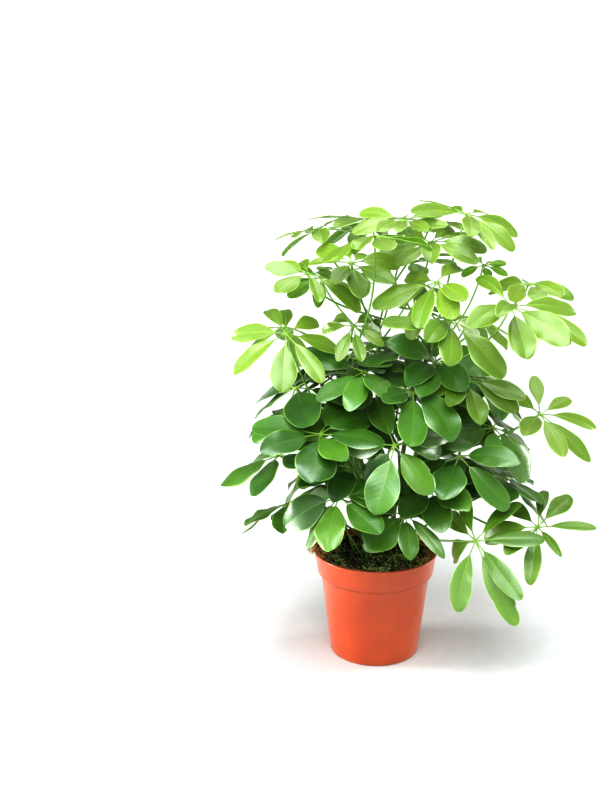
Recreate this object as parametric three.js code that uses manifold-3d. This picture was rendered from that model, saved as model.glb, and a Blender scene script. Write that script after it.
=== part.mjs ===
// A dwarf umbrella tree in its nursery pot. Millimetres, +Z up.
// The origin is the middle of the pot's flat base, on the surface it stands on.
import * as THREE from "three";
import { mergeVertices } from "three/addons/utils/BufferGeometryUtils.js";
import Module from "manifold-3d";

// ---- driving dimensions -------------------------------------------------------
const POT_TOP_R = 65.0; // outside of the rim lip
const POT_HEIGHT = 113.0;
const POT_WALL = 1.2;
const POT_BASE_R = 46.5;
const COLLAR_BOTTOM_Z = 89.5; // where the collar steps in to the body
const COLLAR_BOTTOM_R = 60.8;
const BODY_TOP_Z = 86.3;
const BODY_TOP_R = 57.0;
const LIP_DEPTH = 2.4;
const FLOOR_THICKNESS = 1.8;
const DRAIN_HOLES = 6;
const DRAIN_R = 4.0;
const DRAIN_CIRCLE_R = 32.0;
const GAP = 0.35; // clearance between two pieces that touch
const SOIL_TOP_Z = 106.0;
const SOIL_MOUND = 1.4; // how far the middle stands over the edge
const STEM_FOOT_Z = 82.0; // how deep a stem is set in the soil
const STEM_SIDES = 8;
const LEAF_THICKNESS = 0.9; // at the midrib, running out to nothing at the edge
const PETIOLE_R = 1.15;
const PETIOLE_FOOT_R = 1.9;
const HUB_R = 1.9;
const HUB_HALF = 0.9;

// Each stem: x, y at the soil, x, y at the top, top z, radius at the soil and at the top.
const STEMS = [
  [-6, 0, -36, -34, 318, 2.9, 1.9],
  [13, -3, 46, -38, 336, 2.7, 1.8],
  [24, 14, 72, 18, 324, 2.8, 1.9],
  [5, 22, 2, 44, 346, 3, 1.9],
  [-11, 14, -59, 18, 298, 2.6, 1.8],
];

// Each leaf: the stem that carries it, the height where it leaves the stem, the point
// where its leaflets meet, the direction in which the whorl opens, the arch of its
// stalk (first pull, last pull, rise, aim), its age from 0, new, to 1, old, and its
// leaflets: azimuth, elevation, length, width, roll, droop, sideways bend, share of
// the length that is stalk, fold along the midrib. Angles in degrees.
const LEAVES = [
  { stem: 4, z: 121.3, hub: [-92.2, 17, 157.6], axis: [-0.294, 0.127, 0.947], arch: [0.37, 0.43, 1.04, 0.27], age: 0.86, leaflets: [
    [-158.4, -6.1, 52.1, 26.6, 1.1, 25.7, -0.007, 0.176, 7.6],
    [-105.5, -22.6, 51, 24.4, 12, 30.5, 0.022, 0.18, 12.5],
    [-50.3, -22.2, 58.7, 31.2, 2.6, 35.8, -0.019, 0.151, 5.1],
    [6.8, -2.9, 60.9, 28.7, 0.1, 42.9, -0.013, 0.161, 4.6],
    [57.6, -26.8, 52.6, 25.4, -1.3, 28.1, -0.003, 0.184, 10.6],
    [107.4, -31.4, 60.7, 31.7, 11.1, 39.4, -0.03, 0.187, 3.1],
    [158.3, -19.7, 63.4, 34.8, 3.5, 18.6, 0.062, 0.166, 5.2]] },
  { stem: 1, z: 128, hub: [89.7, -99.5, 159.8], axis: [-0.575, -0.498, 0.648], arch: [0.4, 0.2, 0.45, 0.26], age: 0.5, leaflets: [
    [-128.8, -26.2, 71.9, 25.2, 15.5, 34.8, -0.013, 0.182, 8.1],
    [-80.7, -31.1, 86.9, 21.3, 1.7, 19.3, -0.004, 0.171, 10.2],
    [-62.5, -15.3, 73.2, 19.3, 0, 26.9, -0.035, 0.184, 7.2],
    [-7.1, -25, 64.1, 19, 4.5, 23.8, 0.029, 0.179, 8.4],
    [48.4, -26.5, 64.6, 21, 2.8, 23.3, 0.029, 0.149, 9.7],
    [103.8, -9.5, 69.7, 15.5, -3.4, 17.5, -0.048, 0.145, 11.6],
    [124.7, -17.9, 71.9, 17.5, 0, 27.1, -0.014, 0.172, 9],
    [156.6, -43.1, 76.2, 22.5, 26.2, 30.2, -0.007, 0.172, 11.1]] },
  { stem: 2, z: 163.7, hub: [154.7, -71.6, 163.7], axis: [-0.126, -0.334, 0.934], arch: [0.37, 0.37, 0.81, 0.71], age: 0.35, leaflets: [
    [-130.6, 9.2, 59.1, 19.7, 8.6, 28.7, 0.024, 0.194, 17.4],
    [-106.8, -30.5, 58.5, 17.6, 0, 23.4, -0.019, 0.152, 17.5],
    [-80.3, 9.8, 58.5, 8.8, -6.9, 30.6, 0.05, 0.167, 13.8],
    [-16.9, 2.2, 54.9, 14.5, -0.1, 27.9, 0.073, 0.193, 10.4],
    [46.1, -0.7, 58.7, 19, -15.5, 16, 0.008, 0.201, 9.1],
    [73.9, -4.3, 63.9, 12.6, -5.2, 37.6, -0.006, 0.18, 9.9],
    [110.8, -13.8, 59.7, 16.9, 20.6, 11.7, -0.018, 0.175, 19.7],
    [163.5, -25.1, 58.5, 23.5, 29.2, 38, 0.001, 0.176, 15.8]] },
  { stem: 3, z: 122, hub: [-10.7, 115.1, 165.8], axis: [-0.051, 0.421, 0.906], arch: [0.33, 0.36, 0.8, 0.65], age: 0.91, leaflets: [
    [-135.3, -23.7, 61, 28.5, 8.2, 38.2, 0.033, 0.196, 9.9],
    [-87.9, -22.9, 58.7, 29.5, 7.1, 32.2, -0.001, 0.174, 11.7],
    [-35.5, -23.1, 70.1, 35.5, 10.5, 34.1, -0.066, 0.153, 6.1],
    [20.2, -30.8, 60, 31.5, 0.8, 29, 0.02, 0.197, 4.1],
    [65.2, -26.2, 64.8, 32.3, -9.4, 32.5, 0.033, 0.142, 7.1],
    [116.3, -13.4, 73.5, 37.3, -7.9, 27.9, 0.001, 0.174, 7.2],
    [169.7, -28.9, 63.2, 30.2, 2.8, 26.6, -0.043, 0.166, 4.6]] },
  { stem: 1, z: 120, hub: [22.7, -84.4, 182.5], axis: [0.221, -0.5, 0.837], arch: [0.2, 0.26, 0.37, 0.8], age: 0.72, leaflets: [
    [-177.3, -19.7, 53.5, 19.7, -7.6, 20, 0.001, 0.194, 9.4],
    [-130.8, -11.6, 57.8, 34.7, 1.7, 21.8, -0.039, 0.177, 9.1],
    [-88.7, -7.7, 50.4, 21.4, 3.8, 25.1, 0.038, 0.182, 8.8],
    [-53.2, -2.3, 57.8, 14.5, -15.5, 25.2, 0.022, 0.148, 6.7],
    [-3.5, 0.1, 48.5, 20.5, 5, 29.1, -0.016, 0.147, 8.3],
    [48.8, -24.1, 59.1, 22.3, -20.6, 15.6, 0.006, 0.185, 12.3],
    [82.1, 2.8, 57.8, 19.4, 5.2, 34.2, 0.026, 0.188, 9.5],
    [127.8, -13.2, 52, 20.3, -0.8, 30.6, 0.007, 0.187, 10]] },
  { stem: 2, z: 120, hub: [109.4, 61, 184.7], axis: [0.232, 0.206, 0.951], arch: [0.35, 0.55, 0.1, 0.81], age: 1, leaflets: [
    [-151.2, -5.7, 59.5, 29.5, 0.8, 15.7, 0.057, 0.186, 9.3],
    [-96.6, -9.7, 63.6, 29.8, -8.7, 21.9, -0.051, 0.189, 4.5],
    [-35.1, -0.4, 63.3, 35, 3.4, 21.3, 0.01, 0.169, 6.2],
    [7.6, -2.3, 70.8, 33.6, -9.8, 21.5, 0.019, 0.197, 6],
    [53.1, -12.1, 73.3, 38.9, 8.4, 37.2, -0.012, 0.191, 11],
    [85.1, 3.3, 60.4, 32.1, -5.5, 22, -0.01, 0.2, 9.9],
    [116, -0.9, 68.7, 36.4, -20.3, 29.4, 0.035, 0.184, 5.4],
    [161.3, 3.7, 64.2, 32.6, -2.9, 18.5, -0.042, 0.167, 11.9]] },
  { stem: 4, z: 164.7, hub: [-51.6, 81.4, 193.1], axis: [-0.34, 0.086, 0.936], arch: [0.16, 0.53, 0.7, 0.55], age: 0.79, leaflets: [
    [-157.2, -27.8, 70.1, 38.5, -10.5, 14.1, -0.01, 0.148, 3.7],
    [-118.6, -14.5, 66.7, 34.4, 0.9, 21.9, -0.001, 0.181, 12],
    [-63.2, -28, 70.7, 39.8, -11.2, 18, -0.064, 0.188, 5.5],
    [-20.3, -16.5, 67.7, 33.3, -9, 28.6, 0.007, 0.183, 4.5],
    [20.2, -24.9, 60.2, 30.6, 2.5, 35.4, 0.023, 0.183, 9.1],
    [66.6, -19.8, 60.8, 30.9, -19.4, 18.3, -0.03, 0.166, 5.9],
    [115.3, -30.3, 65.8, 36.5, -22.1, 24.7, 0.041, 0.158, 7.1],
    [161, -26.3, 61.7, 35.3, -1.8, 14.1, 0.023, 0.197, 4.1]] },
  { stem: 4, z: 134.5, hub: [131.3, -11.8, 196.1], axis: [0.416, -0.001, 0.909], arch: [0.25, 0.29, 0.25, 0.82], age: 0.86, leaflets: [
    [-170.5, -19.8, 69.6, 37.3, 7.6, 29.2, -0.072, 0.165, 5.3],
    [-147.1, -35, 54.2, 31.6, 7, 27, -0.032, 0.145, 6.3],
    [-103.8, -14.5, 67.9, 39.2, -6.3, 25.3, -0.018, 0.161, 11.7],
    [-56.9, 1, 56.5, 33, 4.8, 8.3, -0.05, 0.144, 8.7],
    [-21, -21.1, 65.7, 34.2, 8.3, 17.4, -0.043, 0.184, 7.5],
    [43.7, -18.8, 66, 39.5, 1.8, 34.4, -0.001, 0.16, 4.7],
    [86.3, -22.8, 63.2, 36.1, -21.7, 33.1, -0.002, 0.199, 11],
    [146.7, -13.9, 63.2, 34.7, -18.9, 17.5, -0.008, 0.197, 6.3]] },
  { stem: 2, z: 189.7, hub: [51, -56.6, 197.1], axis: [-0.31, -0.211, 0.927], arch: [0.24, 0.21, 0.61, 0.71], age: 0.95, leaflets: [
    [-178.5, -1.2, 53.9, 27.2, -5.8, 35.6, 0.074, 0.165, 7],
    [-121.9, 11.3, 61.8, 27.3, 22.3, 20.9, 0.033, 0.17, 8.2],
    [-89.4, -9.1, 61.8, 29.1, 0, 31.3, 0.007, 0.166, 5.5],
    [-56.6, -1.1, 60.7, 28.7, -12, 48.3, -0.024, 0.167, 9],
    [-2.7, -4, 57.8, 24.6, -2.3, 42.8, 0.087, 0.149, 12.7],
    [51.9, -8.9, 62.6, 24.5, -23.4, 31.7, 0.04, 0.167, 11.4],
    [85, 6.3, 64.5, 25.1, -1.7, 20.8, 0.064, 0.167, 6.3],
    [108.1, -9.5, 58.1, 23.4, 22.3, 8.9, 0.046, 0.162, 10.1]] },
  { stem: 0, z: 178.1, hub: [-42.4, -102.5, 205.4], axis: [-0.243, -0.205, 0.948], arch: [0.43, 0.46, 0.1, 0.25], age: 0.9, leaflets: [
    [-178.1, -18.3, 60.4, 36.9, 32.7, 30.3, -0.013, 0.198, 12.6],
    [-144.3, -34, 56, 24.6, -4.5, 27.7, -0.006, 0.167, 8.1],
    [-110.8, -21.9, 60.5, 30.1, 5.2, 32.8, 0.049, 0.176, 10.3],
    [-55.8, -17.1, 60.4, 28.3, -6.9, 2.9, 0.003, 0.183, 13],
    [-20, -21.1, 55.5, 24.3, 8.7, 44.2, 0.01, 0.144, 12.3],
    [-6.9, -10.6, 56.8, 22.9, -13.2, 37.8, -0.002, 0.183, 12],
    [65.1, -34.7, 50.2, 23.7, -7.7, 32.4, -0.006, 0.159, 4.2],
    [127, -23.3, 70.2, 20.9, 43, 15.9, 0.01, 0.181, 5.7]] },
  { stem: 1, z: 153.8, hub: [-27.5, -61.6, 220.3], axis: [0.132, -0.221, 0.966], arch: [0.2, 0.24, 0.41, 0.37], age: 0.97, leaflets: [
    [-153.3, -8.9, 59.8, 23.7, 2.1, 21.4, 0.023, 0.175, 12.7],
    [-111.6, -4.4, 60.5, 27.3, 2.4, 38.4, 0.034, 0.158, 12.4],
    [-75.8, -12.5, 61.6, 29.1, -8.6, 20.3, 0.005, 0.191, 3],
    [-22.1, -5.9, 55.6, 22.6, -2, 22.5, 0.001, 0.172, 12.5],
    [28.7, -16.7, 60.4, 27, -37.8, 19.8, 0.011, 0.151, 5.5],
    [63.3, 5.5, 63.3, 27.1, -9.5, 36.8, 0.043, 0.193, 12.4],
    [122.4, -17.5, 69.7, 27.3, 39.3, 22.3, 0.063, 0.166, 6],
    [168.3, -3.3, 59.8, 26.7, -16.5, 29.9, 0.026, 0.179, 4.3]] },
  { stem: 0, z: 181.2, hub: [-100.4, -44.9, 229.9], axis: [-0.418, -0.071, 0.906], arch: [0.51, 0.3, 0.4, 0.37], age: 0.85, leaflets: [
    [-166.8, -0.3, 64.6, 30.8, 1.1, 19.5, -0.006, 0.198, 4.5],
    [-115.1, -6.8, 65.1, 32.4, -1.6, 28.7, 0.011, 0.151, 4.8],
    [-55.5, -6.3, 56.5, 29.8, 9.8, 18.7, -0.053, 0.162, 12],
    [-6.1, -10.8, 61.7, 33.3, 11.7, 34.2, 0.053, 0.144, 7.9],
    [45.7, -13.8, 58.4, 29.6, -9.7, 4.6, -0.023, 0.176, 8.1],
    [100.1, 5.5, 58.1, 29, 1.9, 7, -0.039, 0.18, 6.8],
    [151, -12.9, 56, 28.6, -5.6, 36.4, -0.093, 0.156, 12.7]] },
  { stem: 2, z: 217.7, hub: [74.5, -71, 236.6], axis: [-0.221, -0.418, 0.881], arch: [0.33, 0.12, 1.15, 0.48], age: 0.95, leaflets: [
    [-164.9, -16.7, 58.7, 25.3, 0.8, 34.4, -0.031, 0.188, 8.4],
    [-110.4, 0.9, 57.7, 34, 0, 9.9, 0, 0.179, 12.3],
    [-49, -43.8, 70, 25.2, -8.6, 27.5, 0.083, 0.187, 12],
    [-24.7, 4.3, 62.6, 21.9, -22.3, 36.6, -0.031, 0.154, 5],
    [7.8, -21, 62.4, 24.5, -20.6, 2.9, 0.059, 0.155, 3.7],
    [61.1, -5.6, 62.4, 23.5, -8.6, 30.5, 0.066, 0.168, 3.1],
    [81.3, -11.8, 63, 21.3, -3.4, 29.1, 0.008, 0.158, 5.2],
    [138.2, -12, 56.6, 23.6, 11.5, 27.9, -0.012, 0.143, 5]] },
  { stem: 0, z: 158.3, hub: [-26.9, 108.2, 249.2], axis: [-0.187, 0.334, 0.924], arch: [0.36, 0.36, 1.25, 0.56], age: 0.81, leaflets: [
    [-165.2, -25.7, 65.5, 34.7, 6.4, 25.4, 0.035, 0.176, 7.4],
    [-124, -21.2, 61.9, 32.1, -8, 27.6, -0.026, 0.154, 11.4],
    [-72.2, -19.1, 56.9, 32.3, -4, 43.8, -0.027, 0.18, 4.5],
    [-20.8, -56.8, 59.9, 31.9, 2.1, 24.7, 0.016, 0.17, 6.6],
    [30.5, -38.1, 63.8, 35, 5.3, 28.5, 0.045, 0.172, 9.9],
    [80.8, -40.7, 55.6, 28.3, 4.5, 2.9, 0.048, 0.142, 9.9],
    [130.7, -23.7, 58.3, 33.7, 0.3, 21.2, 0.009, 0.199, 7.4]] },
  { stem: 3, z: 162, hub: [111.9, -40.1, 256.9], axis: [0.401, -0.4, 0.824], arch: [0.23, 0.18, 1.23, 0.9], age: 0.84, leaflets: [
    [-147.3, -18.8, 62.6, 32.3, -1.8, 39.7, -0.037, 0.162, 9.6],
    [-95.1, -3.3, 52, 26.1, 1.2, 31.6, 0.03, 0.179, 10.4],
    [-34.8, -23.4, 64.5, 36.1, -23.1, 40.2, 0.015, 0.146, 7.7],
    [8.8, -17.7, 54, 26.6, 6.5, 27.4, 0.004, 0.175, 7.3],
    [61, -23.1, 61.8, 36.8, -12.5, 28, -0.055, 0.157, 11.1],
    [128, -11.3, 51.2, 28.8, -11.3, 31.6, -0.019, 0.141, 11.7],
    [173, -20.6, 52.2, 28.9, 11.2, 36.1, -0.068, 0.173, 4.1]] },
  { stem: 2, z: 203.8, hub: [106.7, 35.7, 258.1], axis: [0.509, 0.163, 0.845], arch: [0.15, 0.5, 0.68, 0.3], age: 0.93, leaflets: [
    [-171.5, -5.5, 58.4, 29.9, -8.7, 19.9, 0.093, 0.149, 4.8],
    [-113.7, -23.8, 58.8, 34, 7.3, 37.6, 0.032, 0.195, 10.6],
    [-74, -33.8, 56.3, 28.7, -17.2, 32.8, -0.052, 0.165, 4.7],
    [-17.6, -28.3, 50.1, 29.1, -5.5, 17.4, -0.048, 0.149, 9.5],
    [30.4, -39.3, 57.1, 31.9, -1.1, 20.7, -0.023, 0.16, 10.6],
    [108.2, -36.5, 60.8, 34.2, -2.7, 31.7, -0.017, 0.189, 12],
    [128.7, -22.1, 62.1, 36, -4.5, 34.4, 0.025, 0.18, 3.1]] },
  { stem: 1, z: 200.2, hub: [8.5, -111.5, 259.3], axis: [-0.193, -0.723, 0.664], arch: [0.35, 0.34, 1.3, 0.39], age: 0.88, leaflets: [
    [-147.9, -61.6, 70.6, 29.7, 13.8, 24.5, -0.12, 0.158, 6.3],
    [-107.2, -16.7, 66.1, 33.6, 0, 9.9, -0.068, 0.189, 11.6],
    [-52.4, -25.5, 55.9, 27.1, 8.4, 22.5, 0.002, 0.155, 4.3],
    [14.8, -49.3, 65.6, 25.2, -17.2, 44.2, 0.027, 0.167, 7],
    [24.5, -34.8, 65.4, 21, -12, 37.2, 0.008, 0.157, 8],
    [70, -44, 63.9, 25.4, -3.1, 2.9, -0.03, 0.154, 9.8],
    [106.1, -21.5, 71.1, 26, 0, 22.9, 0.037, 0.18, 10.8],
    [152.8, -37.1, 67.9, 26.1, 6.9, 7.8, 0.061, 0.156, 3.1]] },
  { stem: 1, z: 192.1, hub: [-91.5, 18.9, 262.3], axis: [-0.103, -0.002, 0.995], arch: [0.39, 0.5, 1.12, 0.47], age: 1, leaflets: [
    [-141.4, -27.5, 55.2, 27.7, 3.7, 24.5, 0.061, 0.157, 10.1],
    [-81, -27.3, 52.5, 25.4, -0.7, 32.7, -0.027, 0.171, 11.2],
    [-26.5, -31.8, 55.4, 24.7, -0.9, 17.6, -0.004, 0.169, 3.5],
    [22.3, -29.7, 59.9, 30.3, -24.5, 19.8, -0.019, 0.141, 3.1],
    [51.6, -41.9, 49.6, 24.9, -2.8, 31.9, 0.061, 0.14, 10.1],
    [102.4, -28, 49.9, 26.9, -4.1, 23.2, -0.05, 0.193, 9.1],
    [124.4, -37, 66.3, 31, -8, 14.6, -0.021, 0.183, 9.6],
    [175.2, -33.8, 52.8, 24.6, -4.2, 27.7, 0.03, 0.171, 9.5]] },
  { stem: 3, z: 179.8, hub: [30.9, 91.7, 264.2], axis: [0.092, 0.051, 0.994], arch: [0.15, 0.52, 0.23, 0.76], age: 0.97, leaflets: [
    [-154.4, -32.9, 57.7, 26, -3.4, 18.5, -0.054, 0.156, 9.4],
    [-109.6, -19.8, 50.2, 26.1, -10.5, 21.1, 0.058, 0.184, 3.6],
    [-67.7, -33.8, 51.2, 23.9, 5.8, 20.8, 0.026, 0.195, 8.5],
    [-10.4, -8.7, 50, 22.8, -11.7, 34.5, 0.02, 0.186, 9.5],
    [23.7, -30.3, 52.3, 24.5, 12.4, 38.9, -0.022, 0.176, 4],
    [68.6, -20.7, 55.2, 25.3, -4.8, 27.1, -0.065, 0.172, 3.4],
    [110.9, -33, 51.8, 26.2, 9.7, 20, -0.065, 0.177, 9.1],
    [160.5, -8.2, 59.8, 31, -2.5, 16.5, 0.059, 0.143, 7]] },
  { stem: 0, z: 225.4, hub: [-61.3, -94.9, 265.6], axis: [0.037, -0.333, 0.942], arch: [0.47, 0.34, 0.23, 0.78], age: 0.92, leaflets: [
    [-150.7, 3.4, 63.8, 26.3, 24.1, 15.8, 0.061, 0.189, 6.1],
    [-93.8, -6.8, 65.7, 40.2, 2.2, 32, -0.052, 0.148, 4.2],
    [-75.4, 13.8, 64.7, 25.3, -9.4, 9.7, 0.068, 0.144, 4.2],
    [-26, 10.7, 63.8, 28.1, -4.5, 23.6, -0.021, 0.151, 9.6],
    [40, -4.4, 64.9, 29.8, -22.5, 33.6, -0.094, 0.181, 9.3],
    [65.7, 3.4, 65.4, 26, -18.1, 7.2, -0.029, 0.182, 4.2],
    [167.2, -4.7, 64.7, 29.1, 12.8, 17.7, 0.002, 0.183, 10.7]] },
  { stem: 2, z: 226.4, hub: [-40.9, -38.8, 271.6], axis: [-0.071, -0.143, 0.987], arch: [0.29, 0.14, 1.3, 0.87], age: 0.93, leaflets: [
    [-130.4, -5.2, 60.3, 34.5, 36.1, 44.5, 0.028, 0.159, 4.8],
    [-82.7, -7.8, 58.2, 33.6, 2.2, 19.3, 0.073, 0.182, 4.2],
    [-16.6, -30.6, 69, 39, 3.1, 32.3, 0.012, 0.168, 5.9],
    [-6.1, -8.9, 60.8, 28.3, 10.3, 16.5, -0.013, 0.179, 8.6],
    [7.2, -38.8, 61.8, 30.6, -4, 22.5, -0.033, 0.183, 11.6],
    [80.2, -23.9, 60.3, 28.2, 9.7, 48.9, 0.025, 0.148, 11],
    [125.5, -8.2, 64.1, 35.1, -11.1, 32.2, 0.076, 0.152, 4.1],
    [177.9, -15.4, 58.1, 25.8, -18, 18.4, -0.053, 0.174, 11.7]] },
  { stem: 1, z: 208.5, hub: [152.5, -64.4, 277.2], axis: [0.202, -0.33, 0.922], arch: [0.35, 0.27, 0.42, 0.38], age: 0.12, leaflets: [
    [-118.9, 7.1, 57.9, 21.2, -3.9, 19.5, 0.039, 0.161, 19.4],
    [-76.1, -5.5, 58.7, 19.5, -15.2, 20.6, 0.007, 0.167, 7.5],
    [-34.7, -21.9, 64.9, 16.7, -24.1, 20.1, 0.065, 0.172, 12.7],
    [-3.3, -5.4, 59, 13.9, -27.5, 38.7, 0.03, 0.187, 18.7],
    [46.8, -4.3, 59.9, 14.2, -11.5, 10.4, 0.008, 0.209, 20],
    [84.5, 6, 58.8, 14.7, 13.5, 2.9, 0.056, 0.188, 9],
    [107.1, -19.3, 58.5, 14.6, 43, 16.2, -0.1, 0.181, 10.9]] },
  { stem: 3, z: 209.4, hub: [-83.5, -37.9, 297], axis: [-0.435, -0.145, 0.889], arch: [0.55, 0.22, 0.27, 0.42], age: 0.95, leaflets: [
    [-138.3, -38, 66.5, 40.9, -6.7, 14.5, -0.018, 0.159, 7.5],
    [-84.5, -12.9, 68.6, 38.3, 6.1, 25.7, 0.006, 0.15, 3.6],
    [-20.5, -31.4, 74.1, 31.5, 3.1, 14.6, -0.023, 0.198, 8.9],
    [-19.9, 2, 60, 29, 19.4, 29.8, -0.074, 0.163, 11.5],
    [49.7, -22.5, 61.4, 33.8, 12.2, 40.3, 0.033, 0.181, 11.7],
    [99, -22.1, 62.8, 32.9, 1.4, 38.3, -0.038, 0.159, 5.2],
    [132.4, -11.6, 70.1, 40.7, 10.1, 36.7, 0.019, 0.144, 7.6],
    [159.7, -18.9, 61.7, 30.4, 0.1, 22.2, -0.013, 0.152, 9.2]] },
  { stem: 2, z: 261.9, hub: [110, 2.4, 297.5], axis: [0.389, -0.132, 0.912], arch: [0.48, 0.25, 0.83, 0.25], age: 0.92, leaflets: [
    [-169.9, -48.6, 63.1, 29.7, 2.2, 17.6, -0.017, 0.175, 8.7],
    [-121.9, -24.5, 55.8, 30.3, 5.8, 35.2, 0.005, 0.15, 9.8],
    [-77.8, -18.2, 60.4, 31.8, 0.9, 39.7, 0.069, 0.16, 7.8],
    [-20.5, -23.8, 59.4, 25.9, 14.6, 19.1, 0.012, 0.186, 7.2],
    [1.8, -29, 64.1, 30.8, -13.1, 17.6, 0.084, 0.144, 6.5],
    [68.3, -26.7, 58.9, 29, 0.4, 15.5, 0.061, 0.163, 8.1],
    [112.2, -13.2, 62.7, 33.2, 5.1, 34.4, 0.032, 0.166, 12.2],
    [140.8, -32.8, 65.5, 30.3, -6, 2.9, -0.12, 0.155, 11.8]] },
  { stem: 0, z: 141.1, hub: [-35.8, 41.6, 299.6], axis: [-0.256, 0.126, 0.958], arch: [0.4, 0.27, 0.77, 0.49], age: 0.99, leaflets: [
    [-179.4, -20.5, 68.8, 35.1, -4.8, 20.4, 0.027, 0.186, 5.9],
    [-167.5, -5.4, 70.3, 36, -21.5, 39.5, -0.095, 0.198, 10.9],
    [-80.9, -30.9, 67.2, 34.7, 2, 18.7, -0.026, 0.198, 12.9],
    [-33.6, -24.4, 71.2, 35.1, 5.7, 35.3, 0.004, 0.179, 9.8],
    [21.5, -15.5, 66.2, 28.8, 10.5, 48.7, -0.026, 0.173, 7.2],
    [74.9, -15.1, 69.6, 33.7, 6.7, 28.5, 0.001, 0.167, 10.3],
    [120.7, -12.3, 63.3, 33.8, -17.8, 37.9, 0.031, 0.142, 3]] },
  { stem: 3, z: 254.5, hub: [49.4, 51, 300.5], axis: [0.245, 0.39, 0.888], arch: [0.15, 0.55, 1.09, 0.51], age: 0.99, leaflets: [
    [-145.4, -4.2, 58.2, 28.9, 13.8, 21.9, 0.019, 0.154, 11.3],
    [-112.6, -4.3, 54.8, 26.3, -20.6, 14.5, 0.014, 0.178, 3.1],
    [-87.8, -11.8, 52, 26.4, -10.1, 6.8, -0.068, 0.141, 10.7],
    [-16.4, -2, 56, 28.9, 4.8, 13.1, -0.037, 0.162, 10.4],
    [39.2, -14.4, 62.7, 29.1, -3.9, 33, -0.016, 0.178, 8.9],
    [90.3, 7.2, 61.2, 30.9, 5.7, 20.9, 0.027, 0.156, 7.5],
    [126.2, 10.4, 58.9, 29.4, 9.5, 16.9, 0.076, 0.163, 3.5]] },
  { stem: 1, z: 220.1, hub: [27.3, -80.4, 303.3], axis: [0.3, -0.354, 0.886], arch: [0.39, 0.12, 0.96, 0.76], age: 1, leaflets: [
    [-129.4, 12.5, 59.3, 20.8, 12, 19.2, 0, 0.199, 9.8],
    [-86.4, -20.4, 60.9, 32, 0, 16.5, -0.062, 0.148, 7.7],
    [-41.1, -13.5, 62.5, 33, -18.6, 53, -0.099, 0.162, 8.2],
    [36.1, -9.9, 57.5, 27.3, -6.9, 34.7, 0.061, 0.17, 9.2],
    [87.3, 2.7, 62.5, 19.2, 12.9, 26.8, -0.019, 0.17, 7],
    [105.2, -25.6, 60.4, 26.8, 28.3, 25.9, 0.076, 0.146, 6.6],
    [171.1, -18.4, 61.3, 22.6, -1.1, 42.9, -0.033, 0.166, 4.2]] },
  { stem: 3, z: 248.2, hub: [0.6, 85.2, 307.5], axis: [0.046, 0.424, 0.904], arch: [0.35, 0.55, 0.1, 0.26], age: 0.89, leaflets: [
    [-144.7, -16.3, 62.7, 31.2, 5.2, 32.5, -0.062, 0.189, 6.6],
    [-113.8, -3.8, 60.7, 29.2, 23.3, 32, -0.062, 0.191, 11.4],
    [-57, -11.4, 61.1, 36.6, 13.8, 38.7, 0.031, 0.164, 5.4],
    [-7.2, -9.6, 68.5, 39, -8.6, 26.9, -0.099, 0.19, 7.5],
    [32.4, -24.8, 71.7, 38.5, -3.4, 19.6, 0.01, 0.189, 7.3],
    [71.4, -7, 68.9, 40.8, -15.5, 16.4, 0.056, 0.158, 5.8],
    [122.5, -23.3, 61.4, 30.8, 10.8, 26.6, 0.088, 0.18, 12.2],
    [168.9, -24.7, 56, 30.4, 18.1, 38.7, 0.008, 0.159, 10]] },
  { stem: 1, z: 251.9, hub: [80.1, -64, 310.9], axis: [0.044, -0.376, 0.926], arch: [0.28, 0.45, 0.23, 0.84], age: 0.25, leaflets: [
    [-157.3, -8.4, 44.8, 16.6, 17, 24.8, 0.052, 0.2, 9.6],
    [-115.3, 1.4, 48.8, 19.8, -3.3, 29.8, 0.016, 0.188, 12.2],
    [-78, -19.9, 51, 22.2, 7.4, 32.3, -0.004, 0.193, 17.3],
    [-26.1, -18.3, 57.4, 22.5, -23.1, 34, -0.014, 0.182, 14.8],
    [-19.8, -2.7, 57.8, 17.6, -34.7, 23.6, -0.07, 0.199, 16.8],
    [39.9, -22, 46.2, 18.8, -1.5, 31.4, 0.054, 0.187, 12.6],
    [102.4, -24.5, 50.3, 15.8, 33.6, 37.1, -0.015, 0.206, 15],
    [159.5, -5.9, 44.5, 17.4, -9, 20.5, 0.105, 0.168, 17.1]] },
  { stem: 1, z: 276.5, hub: [-17.6, -58.5, 318], axis: [0.17, -0.139, 0.976], arch: [0.42, 0.38, 0.79, 0.26], age: 0.95, leaflets: [
    [-138.9, -21.9, 60.5, 19.2, 20.6, 9.4, 0.011, 0.191, 8.6],
    [-103.2, -20.2, 59.7, 23.1, 0, 31.3, -0.011, 0.173, 5.3],
    [-74.9, -1.1, 58.8, 23.3, -7.5, 34.7, 0.014, 0.151, 8.2],
    [-18.8, -32, 55.1, 17.2, 4.6, 26, -0.064, 0.194, 11.4],
    [20.2, -2, 57.3, 18.2, -12.8, 48.5, -0.006, 0.186, 11.9],
    [64, -9.6, 62, 17.6, -41.3, 15.3, 0.011, 0.147, 7.4],
    [173.7, 5.2, 65.7, 23.5, 36, 14.4, 0.078, 0.187, 10.7]] },
  { stem: 1, z: 265, hub: [-27.1, -15.4, 321.8], axis: [-0.281, -0.061, 0.958], arch: [0.51, 0.55, 0.67, 0.59], age: 0.8, leaflets: [
    [-159.9, 0.8, 54.8, 29.7, -13.2, 63, 0, 0.192, 8.5],
    [-95.1, -30.3, 65.2, 30.5, 34.8, 2.9, 0.027, 0.188, 3.6],
    [-61.8, -1.8, 61.9, 28.7, 9.9, 2.9, 0.057, 0.157, 3.3],
    [-45.6, 0.8, 59.1, 33.1, 3.8, 9.1, -0.033, 0.187, 4.5],
    [16, 1.8, 55.6, 30.7, -6.5, 34.9, -0.047, 0.16, 11.2],
    [55.7, -26.2, 62.7, 32.4, -26.8, 25.1, 0.006, 0.186, 9.7],
    [100, -15.7, 53.3, 29, 6, 37.6, -0.036, 0.188, 12.5],
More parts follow.
